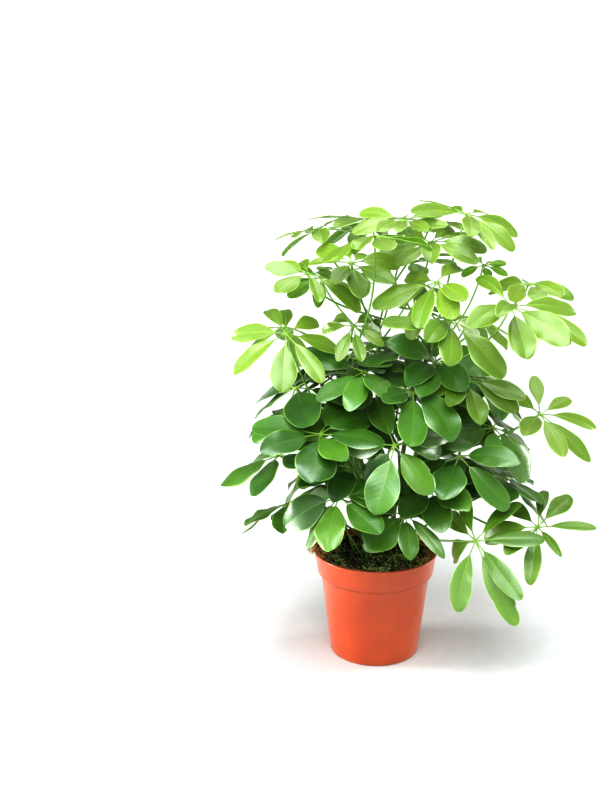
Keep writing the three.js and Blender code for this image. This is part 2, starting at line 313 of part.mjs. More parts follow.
    [155.7, -4.9, 53.3, 32.3, -2.3, 21.2, 0.017, 0.183, 11.5]] },
  { stem: 2, z: 200.5, hub: [54.1, -40.4, 321.8], axis: [0.128, -0.323, 0.938], arch: [0.15, 0.33, 1.3, 0.36], age: 0.95, leaflets: [
    [-173.9, 19.8, 55.8, 24.3, 41.3, 48.6, -0.082, 0.16, 8.6],
    [-128, 1.8, 59.9, 25.6, 5.2, 43.6, 0.082, 0.165, 8.1],
    [-107.2, -2.6, 63.2, 26.3, -3.8, 30.8, -0.026, 0.186, 12.5],
    [-73.1, 7.7, 62.3, 27.7, -13.8, 42.1, -0.013, 0.141, 4.5],
    [-13.9, 3.4, 52.7, 25.3, -16.8, 49.7, -0.076, 0.182, 11.8],
    [42.5, 0.3, 57.9, 26.8, -3.9, 31.3, -0.06, 0.15, 8.8],
    [91.1, -2.7, 58.5, 27.2, 22.3, 11.7, -0.046, 0.186, 11.1],
    [172.6, 17.1, 55.4, 24.7, 11.9, 19.5, 0.037, 0.157, 7.7]] },
  { stem: 2, z: 238.3, hub: [-94.3, 24.9, 345.7], axis: [-0.058, 0.031, 0.998], arch: [0.21, 0.35, 0.89, 0.77], age: 0.08, leaflets: [
    [-149.5, -33.7, 52.3, 16.3, -9, 43.1, 0.008, 0.197, 14.7],
    [-74.2, -35.5, 59.1, 19.9, -8.2, 34.6, 0.067, 0.191, 8],
    [-22.1, -32.4, 53.3, 17.8, 5.5, 35.5, 0.03, 0.202, 9.9],
    [33.6, -32.6, 62.8, 18.8, -7.8, 27, -0.025, 0.21, 11],
    [95.2, -21.4, 62.7, 20.7, -5.1, 32.6, -0.024, 0.188, 12.8],
    [146.1, -31.9, 59, 18.3, -6.2, 29.1, -0.019, 0.209, 12.6],
    [179.3, -11, 56.4, 18.8, 3, 33.4, -0.018, 0.187, 15.5]] },
  { stem: 3, z: 278.8, hub: [98.6, 45.1, 353], axis: [0.187, 0.125, 0.974], arch: [0.28, 0.47, 0.1, 0.65], age: 0.03, leaflets: [
    [-175.3, -17.8, 55.6, 20.2, -6.7, 16, 0.079, 0.172, 14.7],
    [-131.8, -17.6, 50.8, 17.7, -10.4, 37.3, -0.054, 0.208, 14.7],
    [-88, -7.2, 59.2, 22.5, -1.3, 23.6, 0.045, 0.192, 17.1],
    [-46, -26.8, 57.2, 21, -3.2, 34.5, 0.015, 0.15, 13.6],
    [-5, -18.6, 56.4, 21.1, 4.8, 26.5, -0.063, 0.178, 8.8],
    [59.5, -29, 53.3, 19.5, -16.9, 26.6, 0, 0.178, 17.9],
    [88, -6, 54.6, 19.7, 6.5, 6.3, -0.026, 0.204, 17.5],
    [130.9, -24.2, 47.3, 15.3, 7.3, 15.1, 0.011, 0.177, 15.8]] },
  { stem: 0, z: 201.1, hub: [-92.9, -81.8, 359.2], axis: [0.095, -0.446, 0.89], arch: [0.25, 0.36, 0.58, 0.34], age: 0.03, leaflets: [
    [-147.4, -25.4, 61.7, 18, 1, 34.5, 0.054, 0.191, 12.4],
    [-92.5, -25.4, 59.6, 25.4, 0, 25.1, 0.035, 0.187, 11.8],
    [-50.2, -15.8, 60, 18.4, -12, 18, -0.053, 0.164, 8.1],
    [18.8, -27.7, 60.7, 17.4, -29.2, 14.7, -0.026, 0.207, 19.2],
    [52.7, -18.1, 57.6, 16.4, -29.2, 40.3, 0.02, 0.207, 7.7],
    [92.1, -15.5, 62.4, 15.3, 10.6, 20, -0.046, 0.158, 14.7],
    [109.4, -15.2, 61, 15.7, 12, 29.7, -0.031, 0.168, 19.2],
    [160.2, -22.3, 57.4, 18.9, 36.7, 29.7, 0.016, 0.164, 7.9]] },
  { stem: 4, z: 288.7, hub: [-29, -50.2, 361], axis: [0.004, -0.392, 0.92], arch: [0.27, 0.47, 0.28, 0.83], age: 0.1, leaflets: [
    [-112.3, -27.7, 39.8, 13.7, 1.7, 34.2, -0.034, 0.164, 8.4],
    [-78.5, -20, 40.5, 12.7, 0, 16.9, 0.002, 0.204, 16.5],
    [-27.5, -22, 34.1, 11, -29.2, 27.3, 0.007, 0.186, 7.6],
    [29.4, -32.6, 39.9, 12.6, -41.3, 25.4, 0.017, 0.184, 12],
    [59.1, -19.7, 39.3, 11.9, -36.1, 28.8, -0.008, 0.188, 11.7],
    [115.4, -20.5, 38.2, 11.5, 41.3, 46.3, 0.065, 0.17, 11.2],
    [157, -29, 37.7, 12, 41.3, 37.3, -0.094, 0.159, 10.8]] },
  { stem: 2, z: 299.7, hub: [60.6, -79.5, 371.4], axis: [0.463, -0.134, 0.876], arch: [0.23, 0.23, 0.98, 0.7], age: 0.2, leaflets: [
    [-161.9, -23.4, 66.8, 22, 3.3, 2.9, 0.005, 0.178, 7.7],
    [-118, -12.9, 59.7, 21.1, 0, 33.7, 0.08, 0.173, 19],
    [-86.8, -22.1, 61.6, 25, -1.4, 32.7, 0.003, 0.204, 9.4],
    [-33, -13.1, 72.2, 26.7, -43, 17.6, 0.049, 0.195, 12.8],
    [40.7, -11, 60.4, 21.6, -41.3, 23.4, 0, 0.181, 7.3],
    [102, -12.3, 54.1, 23.8, -8.9, 35.8, -0.082, 0.197, 17.2],
    [134.2, -20.5, 59.3, 22.4, 3.2, 14.8, -0.021, 0.203, 8.5]] },
  { stem: 2, z: 320.5, hub: [54.5, 98.3, 378.9], axis: [0.184, 0.171, 0.968], arch: [0.45, 0.39, 1.1, 0.9], age: 0.07, leaflets: [
    [-139.6, -29.3, 58.9, 21.7, -5.4, 63, 0.032, 0.175, 9.1],
    [-98.9, -22.7, 54.3, 19.5, 9, 18.1, 0.019, 0.158, 11.3],
    [-55.5, -21.9, 62.4, 23.4, -8.1, 33.2, 0.013, 0.196, 16.4],
    [-14.7, -43.9, 63.5, 20.7, 2.6, 25.6, 0.12, 0.201, 16.3],
    [31.8, -24.7, 61.7, 22.8, -13, 23.8, -0.032, 0.156, 16.2],
    [80.3, -33.7, 52.9, 19.2, -6.7, 24.4, -0.095, 0.186, 20],
    [124, -27.1, 61.3, 23.5, -4.1, 32.6, -0.049, 0.194, 14.2],
    [163.3, -35, 58.5, 19.2, 8.9, 10.4, 0.086, 0.17, 18.5]] },
  { stem: 1, z: 290.7, hub: [114, -94.2, 387.3], axis: [0.237, -0.246, 0.94], arch: [0.21, 0.49, 1.3, 0.86], age: 0.1, leaflets: [
    [-132.2, -6.9, 66.9, 23.5, 6.9, 46.1, 0.018, 0.203, 15.2],
    [-106.6, 11.1, 66.9, 17.6, 1.7, 56.5, -0.117, 0.161, 16.7],
    [-82.8, -16, 67.8, 26.3, -7.2, 25.7, 0.022, 0.199, 15.3],
    [-45.8, -3.2, 67.3, 27.8, -43, 21.4, 0.03, 0.162, 11.6],
    [-29.9, -3.6, 77.5, 19.7, -36, 39.6, -0.001, 0.201, 11.8],
    [16.9, 1.9, 68.2, 21, -29.1, 31.9, -0.06, 0.202, 15.6],
    [111, -3.3, 68.3, 15.9, 43, 36.7, -0.037, 0.174, 16.6]] },
  { stem: 1, z: 289.4, hub: [-57.1, 74.6, 389.9], axis: [-0.111, 0.525, 0.844], arch: [0.3, 0.25, 0.81, 0.83], age: 0.17, leaflets: [
    [-171, -13.5, 52.9, 16.5, 0.3, 18.3, -0.034, 0.177, 19.8],
    [-136.1, -1.1, 47.1, 15.8, -0.7, 34.7, 0, 0.191, 18.3],
    [-85.4, -14.2, 55.4, 16.8, 6, 33.5, -0.025, 0.164, 7.3],
    [-38.3, -19.9, 57.1, 18.9, -14.7, 40.7, 0.037, 0.155, 8.5],
    [2.3, -14.2, 55.1, 18.6, -15.7, 35.7, -0.036, 0.194, 11.4],
    [42.1, -13, 47.2, 16.6, -7.8, 33.3, -0.026, 0.152, 10],
    [93.3, -18.8, 47.3, 14.6, -5.5, 32.4, 0.047, 0.162, 11.3],
    [130.3, -4.4, 50.8, 18, -18.9, 33.3, 0.061, 0.201, 9.5]] },
  { stem: 2, z: 316.4, hub: [150.7, 14.9, 391.7], axis: [0.032, -0.047, 0.998], arch: [0.29, 0.26, 1.14, 0.9], age: 0.05, leaflets: [
    [-122, -13.2, 44, 19.6, 43, 27.9, -0.005, 0.165, 14.3],
    [-82.3, -10.4, 44, 19.6, -13.8, 20.1, -0.003, 0.207, 9.4],
    [-52, -4.5, 45.9, 16, -37.8, 35.3, -0.02, 0.201, 10.8],
    [-15.5, -14.6, 46.6, 16.7, -41.3, 29.8, -0.012, 0.177, 17.2],
    [43.4, -11.5, 44, 14.7, 41.3, 23.2, 0.03, 0.162, 8],
    [75.9, -11.7, 41.3, 17, -14.1, 21.5, 0.027, 0.157, 17.2],
    [116.7, -10.2, 44, 15.7, 41.3, 18.6, 0.112, 0.164, 13.3],
    [178.9, -17.4, 39.4, 15.6, 8, 14.2, 0.001, 0.174, 9.5]] },
  { stem: 2, z: 322.9, hub: [50.4, -60.8, 405.2], axis: [-0.471, -0.221, 0.854], arch: [0.38, 0.29, 1.3, 0.72], age: 0.12, leaflets: [
    [-176.1, 7, 64.7, 24, 34.4, 23.9, 0.018, 0.193, 10.5],
    [-149.5, -32, 59.8, 20.4, 32.7, 40.4, -0.063, 0.188, 9.5],
    [-116.1, -9.3, 61.6, 21.3, 13.8, 40.1, -0.052, 0.165, 11.5],
    [-86.5, -12.2, 61.6, 21.6, 0, 25.4, 0.012, 0.167, 11.9],
    [-69.6, -2.1, 61, 19.6, -1.7, 16.1, -0.037, 0.202, 10.9],
    [70, -20.7, 61.6, 17.6, -41.3, 27.6, -0.046, 0.186, 17.4],
    [119.9, -3.4, 61.2, 16.3, 27.5, 8.5, 0.008, 0.192, 8.6],
    [144.8, -19.8, 62.5, 17.1, 41.3, 33.6, -0.024, 0.202, 16.3]] },
  { stem: 1, z: 308.7, hub: [35, 45.2, 409.2], axis: [0.014, 0.241, 0.97], arch: [0.18, 0.26, 1.01, 0.32], age: 0.03, leaflets: [
    [-152, -19.7, 58.8, 19.9, 6.3, 23, 0.086, 0.202, 7.8],
    [-91.3, -6, 49, 19.7, -2.5, 16.9, -0.056, 0.185, 9.2],
    [-54.4, -4.6, 49, 18.9, -1.5, 36.3, -0.103, 0.199, 13.4],
    [-7, 9, 46.9, 17, 3.3, 39.2, 0.036, 0.159, 16.5],
    [28.6, 1.7, 55.7, 19.5, 6.9, 31.6, -0.006, 0.161, 17.4],
    [74.4, -8.6, 55.9, 22.1, 0.5, 29.5, -0.041, 0.19, 13.2],
    [134.9, -12.2, 52.8, 16.4, -2.7, 29.5, -0.004, 0.185, 19.7],
    [165.2, -5.4, 60.5, 18.4, 1.9, 18.2, -0.042, 0.201, 7]] },
  { stem: 1, z: 335, hub: [-72.2, -45.5, 411.1], axis: [0.213, -0.185, 0.959], arch: [0.29, 0.35, 1.3, 0.63], age: 0.06, leaflets: [
    [-177.6, -3.4, 40.3, 16.3, 41.3, 12, -0.071, 0.171, 7.4],
    [-123.6, -12.5, 49.5, 19.6, 3.3, 26.2, -0.025, 0.204, 9.7],
    [-73.8, -11.2, 47.4, 14.9, -3.4, 30.9, -0.011, 0.207, 18.2],
    [-17.5, -20.7, 61.2, 17.6, -34.4, 33.5, -0.013, 0.176, 17.7],
    [15.7, -13.1, 47.9, 15.4, 2.4, 18.7, 0.026, 0.177, 14.7],
    [47.2, -17.5, 52.3, 15.2, -41.3, 37.2, 0.001, 0.204, 12.7],
    [96.7, -8.6, 48.5, 14.8, 37.8, 33.8, 0.042, 0.152, 9.1],
    [126.8, -19.4, 49.7, 18.8, 43, 36.2, 0.088, 0.178, 17.4]] },
  { stem: 1, z: 322, hub: [102.3, -0.7, 413.1], axis: [0.138, 0.437, 0.889], arch: [0.15, 0.54, 1, 0.77], age: 0, leaflets: [
    [-115.3, -8.7, 27.5, 7.6, -39.5, 31.6, 0.058, 0.182, 13.1],
    [-67.7, -7.1, 22, 8.8, -12.9, 27.4, 0.036, 0.194, 10],
    [-18.3, 6, 21.4, 7.8, 41.3, 14.2, -0.023, 0.161, 19.2],
    [20.8, -9.8, 26.6, 8.2, 36.1, 25.8, -0.045, 0.186, 7.2],
    [68.1, -10.1, 26.2, 8.8, 8.6, 23.3, -0.018, 0.185, 17],
    [132.5, -16.2, 26.8, 9.5, -25.8, 26.3, -0.041, 0.178, 17]] },
  { stem: 3, z: 331.7, hub: [-30, -30.8, 419], axis: [0.038, -0.309, 0.95], arch: [0.27, 0.2, 0.67, 0.76], age: 0.08, leaflets: [
    [-170.3, 0.1, 40.9, 18, -5.5, 34.5, -0.047, 0.184, 9.5],
    [-109.9, 1.5, 50, 17.6, 6.9, 26.7, -0.012, 0.169, 19.1],
    [-80.5, -14.6, 49.5, 23, 0, 16.1, 0.028, 0.19, 19.7],
    [-45.5, -2.9, 50, 17.6, -27.5, 12.1, 0.12, 0.165, 8.5],
    [18.1, -8.2, 49.7, 19.3, -39.5, 39.8, -0.091, 0.171, 7.1],
    [61.7, -11.2, 39.7, 17.1, -2.8, 29.6, -0.014, 0.187, 14.7],
    [95.4, -10.6, 50, 15.7, 18.9, 38.1, -0.03, 0.188, 18.9],
    [130.5, -4.4, 50, 19.6, 34.4, 23.3, 0, 0.198, 8.1]] },
  { stem: 3, z: 326.4, hub: [49.1, -1.9, 435.8], axis: [-0.109, -0.162, 0.981], arch: [0.15, 0.3, 0.56, 0.87], age: 0.03, leaflets: [
    [-177.6, -16.4, 61.3, 17.6, 41.3, 34.9, 0.004, 0.159, 10.5],
    [-132.5, -6.7, 55.2, 16.7, 24.1, 2.9, 0.041, 0.173, 11.4],
    [-94.6, -4.1, 54.9, 19.4, 0, 39.9, 0, 0.153, 15.9],
    [-38.8, -17, 54.3, 20, -29.2, 23.1, -0.032, 0.171, 18.4],
    [-13.8, -11.9, 55.2, 17.6, -39.5, 38.4, -0.002, 0.2, 10.1],
    [28.7, -4.2, 51.9, 15.5, -7.1, 21, -0.005, 0.21, 11.3],
    [60.8, -3.3, 55.2, 13.7, -41.3, 26, -0.031, 0.171, 16.8],
    [111.9, -10.2, 55.2, 13.7, 41.3, 29.7, -0.002, 0.195, 18.7]] },
  { stem: 3, z: 345, hub: [-61.4, 41.4, 444.2], axis: [-0.136, 0.122, 0.983], arch: [0.47, 0.29, 0.81, 0.6], age: 0, leaflets: [
    [-172.5, -6.3, 44.5, 15.5, 0.3, 23.6, 0.05, 0.197, 12.4],
    [-117.4, -5.5, 54.5, 20.3, -13.8, 24.7, 0.041, 0.188, 12.5],
    [-87.4, -17.7, 48.8, 19.2, -2.6, 30.2, 0, 0.151, 15.6],
    [-33.3, -14.7, 52.4, 18.4, 5.5, 20, -0.028, 0.165, 12.9],
    [5.3, -10, 53.1, 19.5, -4.7, 26.7, 0.027, 0.18, 11.7],
    [53, 9.6, 54.7, 20.2, 9.5, 17.1, 0.008, 0.185, 15.9],
    [97.7, -1.6, 55, 21, 6.3, 17.8, -0.083, 0.17, 16.4],
    [148.7, -25.6, 49.9, 16.9, -2.4, 23.1, 0.018, 0.176, 13.2]] },
  { stem: 3, z: 342.1, hub: [56, 64.3, 448.8], axis: [-0.054, 0.193, 0.98], arch: [0.44, 0.23, 1.14, 0.56], age: 0.1, leaflets: [
    [-143, -16.4, 48.6, 16.7, -4.2, 24.5, 0.032, 0.188, 7.9],
    [-103.1, -15.8, 51, 16.2, 0.3, 19.4, 0.022, 0.202, 17.7],
    [-66, -12.7, 54.4, 17.8, 5, 27.9, 0.018, 0.151, 12.3],
    [-7.2, -19.4, 51.2, 18.5, -1.5, 20.5, 0.006, 0.176, 11.8],
    [36.1, -10.6, 53.9, 17.9, -10.9, 39.9, 0.005, 0.166, 19.3],
    [79.8, -6.7, 49.7, 19.3, -1, 36, 0.03, 0.164, 19.6],
    [112.3, -23.3, 57.7, 20.1, 1.7, 52.7, 0.021, 0.192, 13.3],
    [164.2, 4.3, 56.7, 17.3, 3, 32.6, 0.12, 0.161, 13.4]] },
  { stem: 0, z: 317, hub: [-10.7, -74.1, 450.4], axis: [-0.095, 0.045, 0.994], arch: [0.4, 0.52, 0.57, 0.77], age: 0.08, leaflets: [
    [-177.7, -22.3, 55.4, 21.3, 8, 23.3, -0.009, 0.167, 9.8],
    [-143.4, -20.2, 48.2, 16.6, 0.2, 38.4, 0.041, 0.168, 14.7],
    [-116, -11, 44.5, 19.6, 1.9, 30.1, 0.023, 0.166, 16.3],
    [-83.2, -10.9, 55, 21, -4.7, 16, 0.053, 0.207, 10.6],
    [-25, -14.1, 51.2, 21.1, 8.3, 2.9, 0.008, 0.163, 11.9],
    [17.6, -20.4, 58.6, 23, 11, 18.9, 0.034, 0.2, 13],
    [62.4, -13.8, 55.7, 19.8, 3.9, 18.7, -0.06, 0.169, 18.7],
    [115, -22.8, 47.8, 16.3, -1.4, 42.8, -0.002, 0.2, 7.2]] },
  { stem: 2, z: 312, hub: [-8.9, 52.1, 453.9], axis: [-0.02, 0.183, 0.983], arch: [0.24, 0.41, 0.75, 0.46], age: 0.06, leaflets: [
    [-172, -0.2, 62.5, 21.1, 5.1, 14.6, 0.083, 0.153, 14.8],
    [-120.1, -10.2, 65.8, 20.7, 11.3, 18, -0.042, 0.172, 9.5],
    [-76.4, -25.1, 55.8, 17.9, 8.5, 32.5, -0.026, 0.161, 14.3],
    [-45.5, -24, 59.1, 19.2, 5, 26.5, 0.021, 0.204, 9.6],
    [23.5, -18.7, 64.3, 20.9, 1.5, 27.4, -0.007, 0.209, 13.4],
    [70, 0.3, 57.6, 17.8, -1.3, 23.4, 0.029, 0.17, 13.4],
    [103.7, -21.4, 60.3, 20.3, -2.3, 2.9, 0.034, 0.153, 17.2],
    [149.4, -27.1, 60.9, 21.3, -10.7, 18.7, -0.054, 0.151, 14.3]] },
  { stem: 3, z: 336.9, hub: [22.4, 3.6, 456.5], axis: [-0.09, -0.143, 0.986], arch: [0.29, 0.22, 0.5, 0.63], age: 0, leaflets: [
    [-177.2, -8.7, 50.8, 16.4, 41.3, 29.6, -0.016, 0.152, 10.7],
    [-126.6, 3.3, 48.1, 15.7, 30.9, 21.8, 0.04, 0.209, 14],
    [-97, 2.3, 48.3, 13.7, 6.9, 27, -0.063, 0.151, 9.6],
    [-65.4, 0.2, 48.1, 13.9, -23.3, 15.6, -0.032, 0.205, 8.2],
    [-33.9, -3.5, 44.8, 12, -41.3, 3.1, 0.105, 0.161, 14.8],
    [29.3, -1.3, 50.4, 16.3, -41.3, 23.7, 0.003, 0.193, 17.6],
    [89.8, -10.6, 41.6, 14.7, 8, 18.4, -0.038, 0.157, 16.9],
    [150.6, 5.7, 48.3, 13.7, 41.3, 38.5, -0.009, 0.208, 16]] },
  { stem: 1, z: 332.2, hub: [84, 0.5, 463], axis: [0.28, -0.173, 0.944], arch: [0.16, 0.45, 0.57, 0.9], age: 0, leaflets: [
    [-166.3, -8.8, 58.1, 17, 39.5, 17, 0.037, 0.171, 14.1],
    [-90.1, -5, 58.1, 19.6, -3.4, 31.9, -0.027, 0.16, 7.9],
    [-66.7, -13.9, 57.4, 13.2, -24.1, 25.4, 0.05, 0.175, 15.4],
    [-25, -16, 58.1, 17.6, -40.5, 28.1, 0.014, 0.174, 7.6],
    [4.4, -8.5, 58.1, 16.7, -41.3, 34.5, 0.033, 0.159, 12.5],
    [53.6, -5.7, 53.8, 17.8, 4.6, 32.7, -0.053, 0.206, 10.9],
    [99.5, -12.9, 58.1, 13.7, 41.3, 14.6, -0.015, 0.197, 10],
    [146.5, -7.1, 51, 15.9, -12.4, 23.2, 0.016, 0.177, 12.6]] },
];

const COLOURS = {
  pot: new THREE.Color(0.72, 0.2, 0.07),
  soil: new THREE.Color(0.035, 0.03, 0.02),
  stem: new THREE.Color(0.2, 0.24, 0.06),
  young: new THREE.Color(0.36, 0.62, 0.06),
  old: new THREE.Color(0.05, 0.2, 0.03),
};

// ---- helpers ---------------------------------------------------------------------
const rad = (d) => (d * Math.PI) / 180;
const V = (x, y, z) => new THREE.Vector3(x, y, z);
const wasm = await Module();
wasm.setup();

function toSolid(geometry) {
  const g = geometry.clone();
  for (const name of Object.keys(g.attributes)) if (name !== "position") g.deleteAttribute(name);
  const m = mergeVertices(g, 1e-4);
  return new wasm.Manifold(
    new wasm.Mesh({
      numProp: 3,
      vertProperties: new Float32Array(m.attributes.position.array),
      triVerts: new Uint32Array(m.index.array),
    }),
  );
}

function toGeometry(solid) {
  const m = solid.getMesh();
  const xyz = new Float32Array((m.vertProperties.length / m.numProp) * 3);
  for (let i = 0; i < xyz.length / 3; i++)
    for (let k = 0; k < 3; k++) xyz[3 * i + k] = m.vertProperties[m.numProp * i + k];
  const g = new THREE.BufferGeometry();
  g.setAttribute("position", new THREE.BufferAttribute(xyz, 3));
  g.setIndex(new THREE.BufferAttribute(new Uint32Array(m.triVerts), 1));
  g.computeVertexNormals();
  return g;
}

function lathe(profile, sides) {
  const g = new THREE.LatheGeometry(profile.map(([r, z]) => new THREE.Vector2(r, z)), sides);
  g.rotateX(Math.PI / 2); // the lathe's own axis is Y
  return g;
}

// A closed body from rings of points, wound outward along its length.
function ringsToGeometry(points, faces) {
  const g = new THREE.BufferGeometry();
  g.setAttribute("position", new THREE.BufferAttribute(new Float32Array(points.flatMap((p) => [p.x, p.y, p.z])), 3));
  g.setIndex(faces.flat());
  g.computeVertexNormals();
  return g;
}

function signedVolume(points, faces) {
  let v = 0;
  for (const [a, b, c] of faces) v += points[a].dot(V(0, 0, 0).crossVectors(points[b], points[c])) / 6;
  return v;
}

function outward(points, faces) {
  return signedVolume(points, faces) < 0 ? faces.map(([a, b, c]) => [a, c, b]) : faces;
}

// ---- stems -----------------------------------------------------------------------
function stemAt(i, z) {
  const [x0, y0, x1, y1, zt] = STEMS[i];
  const t = Math.min(Math.max((z - SOIL_LEVEL) / (zt - SOIL_LEVEL), -0.2), 1);
  const k = t * (0.55 + 0.45 * t); // leans out more and more
  const wx = 2.2 * Math.sin(5.0 * t + i * 1.7) * t;
  const wy = 2.2 * Math.sin(4.3 * t + i * 2.9 + 1.0) * t;
  return V(x0 + (x1 - x0) * k + wx, y0 + (y1 - y0) * k + wy, z);
}
const SOIL_LEVEL = 105.0;

function stemRadius(i, z) {
  const [, , , , zt, r0, r1] = STEMS[i];
  const t = Math.min(Math.max((z - SOIL_LEVEL) / (zt - SOIL_LEVEL), 0), 1);
  return r0 + (r1 - r0) * t;
}

function stemWay(i, z) {
  return stemAt(i, z + 2).sub(stemAt(i, z - 2)).normalize();
}

function tube(centres, radii, sides, tip) {
  const points = [];
  const faces = [];
  const tangents = centres.map((c, k) => {
    const a = centres[Math.max(k - 1, 0)];
    const b = centres[Math.min(k + 1, centres.length - 1)];
    return b.clone().sub(a).normalize();
  });
  let side = Math.abs(tangents[0].z) < 0.9 ? V(0, 0, 1) : V(1, 0, 0);
  centres.forEach((c, k) => {
    const t = tangents[k];
    side = side.clone().addScaledVector(t, -side.dot(t)).normalize();
    const up = V(0, 0, 0).crossVectors(t, side);
    for (let q = 0; q < sides; q++) {
      const a = (2 * Math.PI * q) / sides;
      points.push(c.clone().addScaledVector(side, radii[k] * Math.cos(a)).addScaledVector(up, radii[k] * Math.sin(a)));
    }
  });
  for (let r = 0; r < centres.length - 1; r++)
    for (let q = 0; q < sides; q++) {
      const [a, b] = [r * sides + q, r * sides + ((q + 1) % sides)];
      faces.push([a, b, b + sides], [a, b + sides, a + sides]);
    }
  for (let q = 1; q < sides - 1; q++) faces.push([0, q + 1, q]);
  const last = (centres.length - 1) * sides;
  if (tip) {
    points.push(tip);
    for (let q = 0; q < sides; q++) faces.push([last + q, last + ((q + 1) % sides), points.length - 1]);
  } else {
    for (let q = 1; q < sides - 1; q++) faces.push([last, last + q, last + q + 1]);
  }
  return { points, faces: outward(points, faces) };
}

function stemBody(i, grow, from, to, steps) {
  const centres = [];
  const radii = [];
  for (let k = 0; k <= steps; k++) {
    const z = from + ((to - from) * k) / steps;
    centres.push(stemAt(i, z));
    radii.push(stemRadius(i, z) + grow);
  }
  return [centres, radii];
}

function stemGeometry(i) {
  const top = STEMS[i][4];
  const [centres, radii] = stemBody(i, 0, STEM_FOOT_Z, top, 11);
  const end = centres[centres.length - 1];
  const way = end.clone().sub(centres[centres.length - 2]).normalize();
  // the growing tip: a small blunt bud
  centres.push(end.clone().addScaledVector(way, 3.5));
  radii.push(STEMS[i][6] * 0.72);
  const { points, faces } = tube(centres, radii, STEM_SIDES, end.clone().addScaledVector(way, 6.5));
  return ringsToGeometry(points, faces);
}

// ---- pot -------------------------------------------------------------------------
const bodyR = (z) => POT_BASE_R + ((BODY_TOP_R - POT_BASE_R) * z) / BODY_TOP_Z;
const collarR = (z) => COLLAR_BOTTOM_R + ((POT_TOP_R - 0.5 - COLLAR_BOTTOM_R) * (z - COLLAR_BOTTOM_Z)) / (POT_HEIGHT - COLLAR_BOTTOM_Z);

function potGeometry() {
  const H = POT_HEIGHT;
  const profile = [
    [0, 0],
    [POT_BASE_R - 1.6, 0],
    [POT_BASE_R - 0.2, 1.2],
    [bodyR(6), 6],
    [BODY_TOP_R, BODY_TOP_Z],
    [COLLAR_BOTTOM_R, COLLAR_BOTTOM_Z],
    [collarR(H - LIP_DEPTH), H - LIP_DEPTH],
    [POT_TOP_R, H - LIP_DEPTH + 0.5],
    [POT_TOP_R, H - 0.6],
    [POT_TOP_R - 0.6, H],
    [collarR(H) - POT_WALL + 0.3, H],
    [collarR(H) - POT_WALL, H - 0.7],
    [COLLAR_BOTTOM_R - POT_WALL, COLLAR_BOTTOM_Z + 0.2],
    [BODY_TOP_R - POT_WALL, BODY_TOP_Z - 0.2],
    [bodyR(FLOOR_THICKNESS) - POT_WALL, FLOOR_THICKNESS + 1.4],
    [bodyR(0) - POT_WALL - 1.6, FLOOR_THICKNESS],
    [0, FLOOR_THICKNESS],
  ];
  let pot = toSolid(lathe(profile, 48));
  for (let k = 0; k < DRAIN_HOLES; k++) {
    const a = (2 * Math.PI * (k + 0.5)) / DRAIN_HOLES;
    const hole = new THREE.CylinderGeometry(DRAIN_R, DRAIN_R, 8, 12);
    hole.rotateX(Math.PI / 2);
    hole.translate(DRAIN_CIRCLE_R * Math.cos(a), DRAIN_CIRCLE_R * Math.sin(a), 1);
    pot = pot.subtract(toSolid(hole));
  }
  return toGeometry(pot);
}

// ---- soil ------------------------------------------------------------------------
function soilGeometry() {
  const inner = (z) => (z > COLLAR_BOTTOM_Z ? collarR(z) : bodyR(z)) - POT_WALL - GAP;
  const rim = inner(SOIL_TOP_Z);
  const profile = [
    [0, FLOOR_THICKNESS + GAP],
    [bodyR(0) - POT_WALL - 1.6 - GAP, FLOOR_THICKNESS + GAP],
    [bodyR(4) - POT_WALL - GAP - 0.1, 4.2],
    [BODY_TOP_R - POT_WALL - GAP - 0.15, BODY_TOP_Z],
    [COLLAR_BOTTOM_R - POT_WALL - GAP - 0.25, COLLAR_BOTTOM_Z + 0.4],
    [rim, SOIL_TOP_Z - 0.6],
    [rim - 1.2, SOIL_TOP_Z],
    [rim * 0.72, SOIL_TOP_Z + SOIL_MOUND * 0.6],
    [rim * 0.38, SOIL_TOP_Z + SOIL_MOUND * 0.9],
    [0, SOIL_TOP_Z + SOIL_MOUND],
  ];
  let soil = toSolid(lathe(profile, 48));
  STEMS.forEach((_, i) => {
    const [centres, radii] = stemBody(i, GAP + 0.15, STEM_FOOT_Z - GAP, 116, 4);
    const { points, faces } = tube(centres, radii, STEM_SIDES, null);
    soil = soil.subtract(toSolid(ringsToGeometry(points, faces)));
  });
  return toGeometry(soil);
}

// ---- leaves ----------------------------------------------------------------------
function bladeShape(u) {
  const v = Math.min(Math.max(u, 0), 1);
  return Math.pow(Math.max(Math.sin(Math.PI * Math.pow(v, 1.22)), 0), 0.8 - 0.32 * v);
}

function axes(n) {
  const e1 = V(1, 0, 0).addScaledVector(n, -n.x).normalize();
  return [e1, V(0, 0, 0).crossVectors(n, e1), n];
}

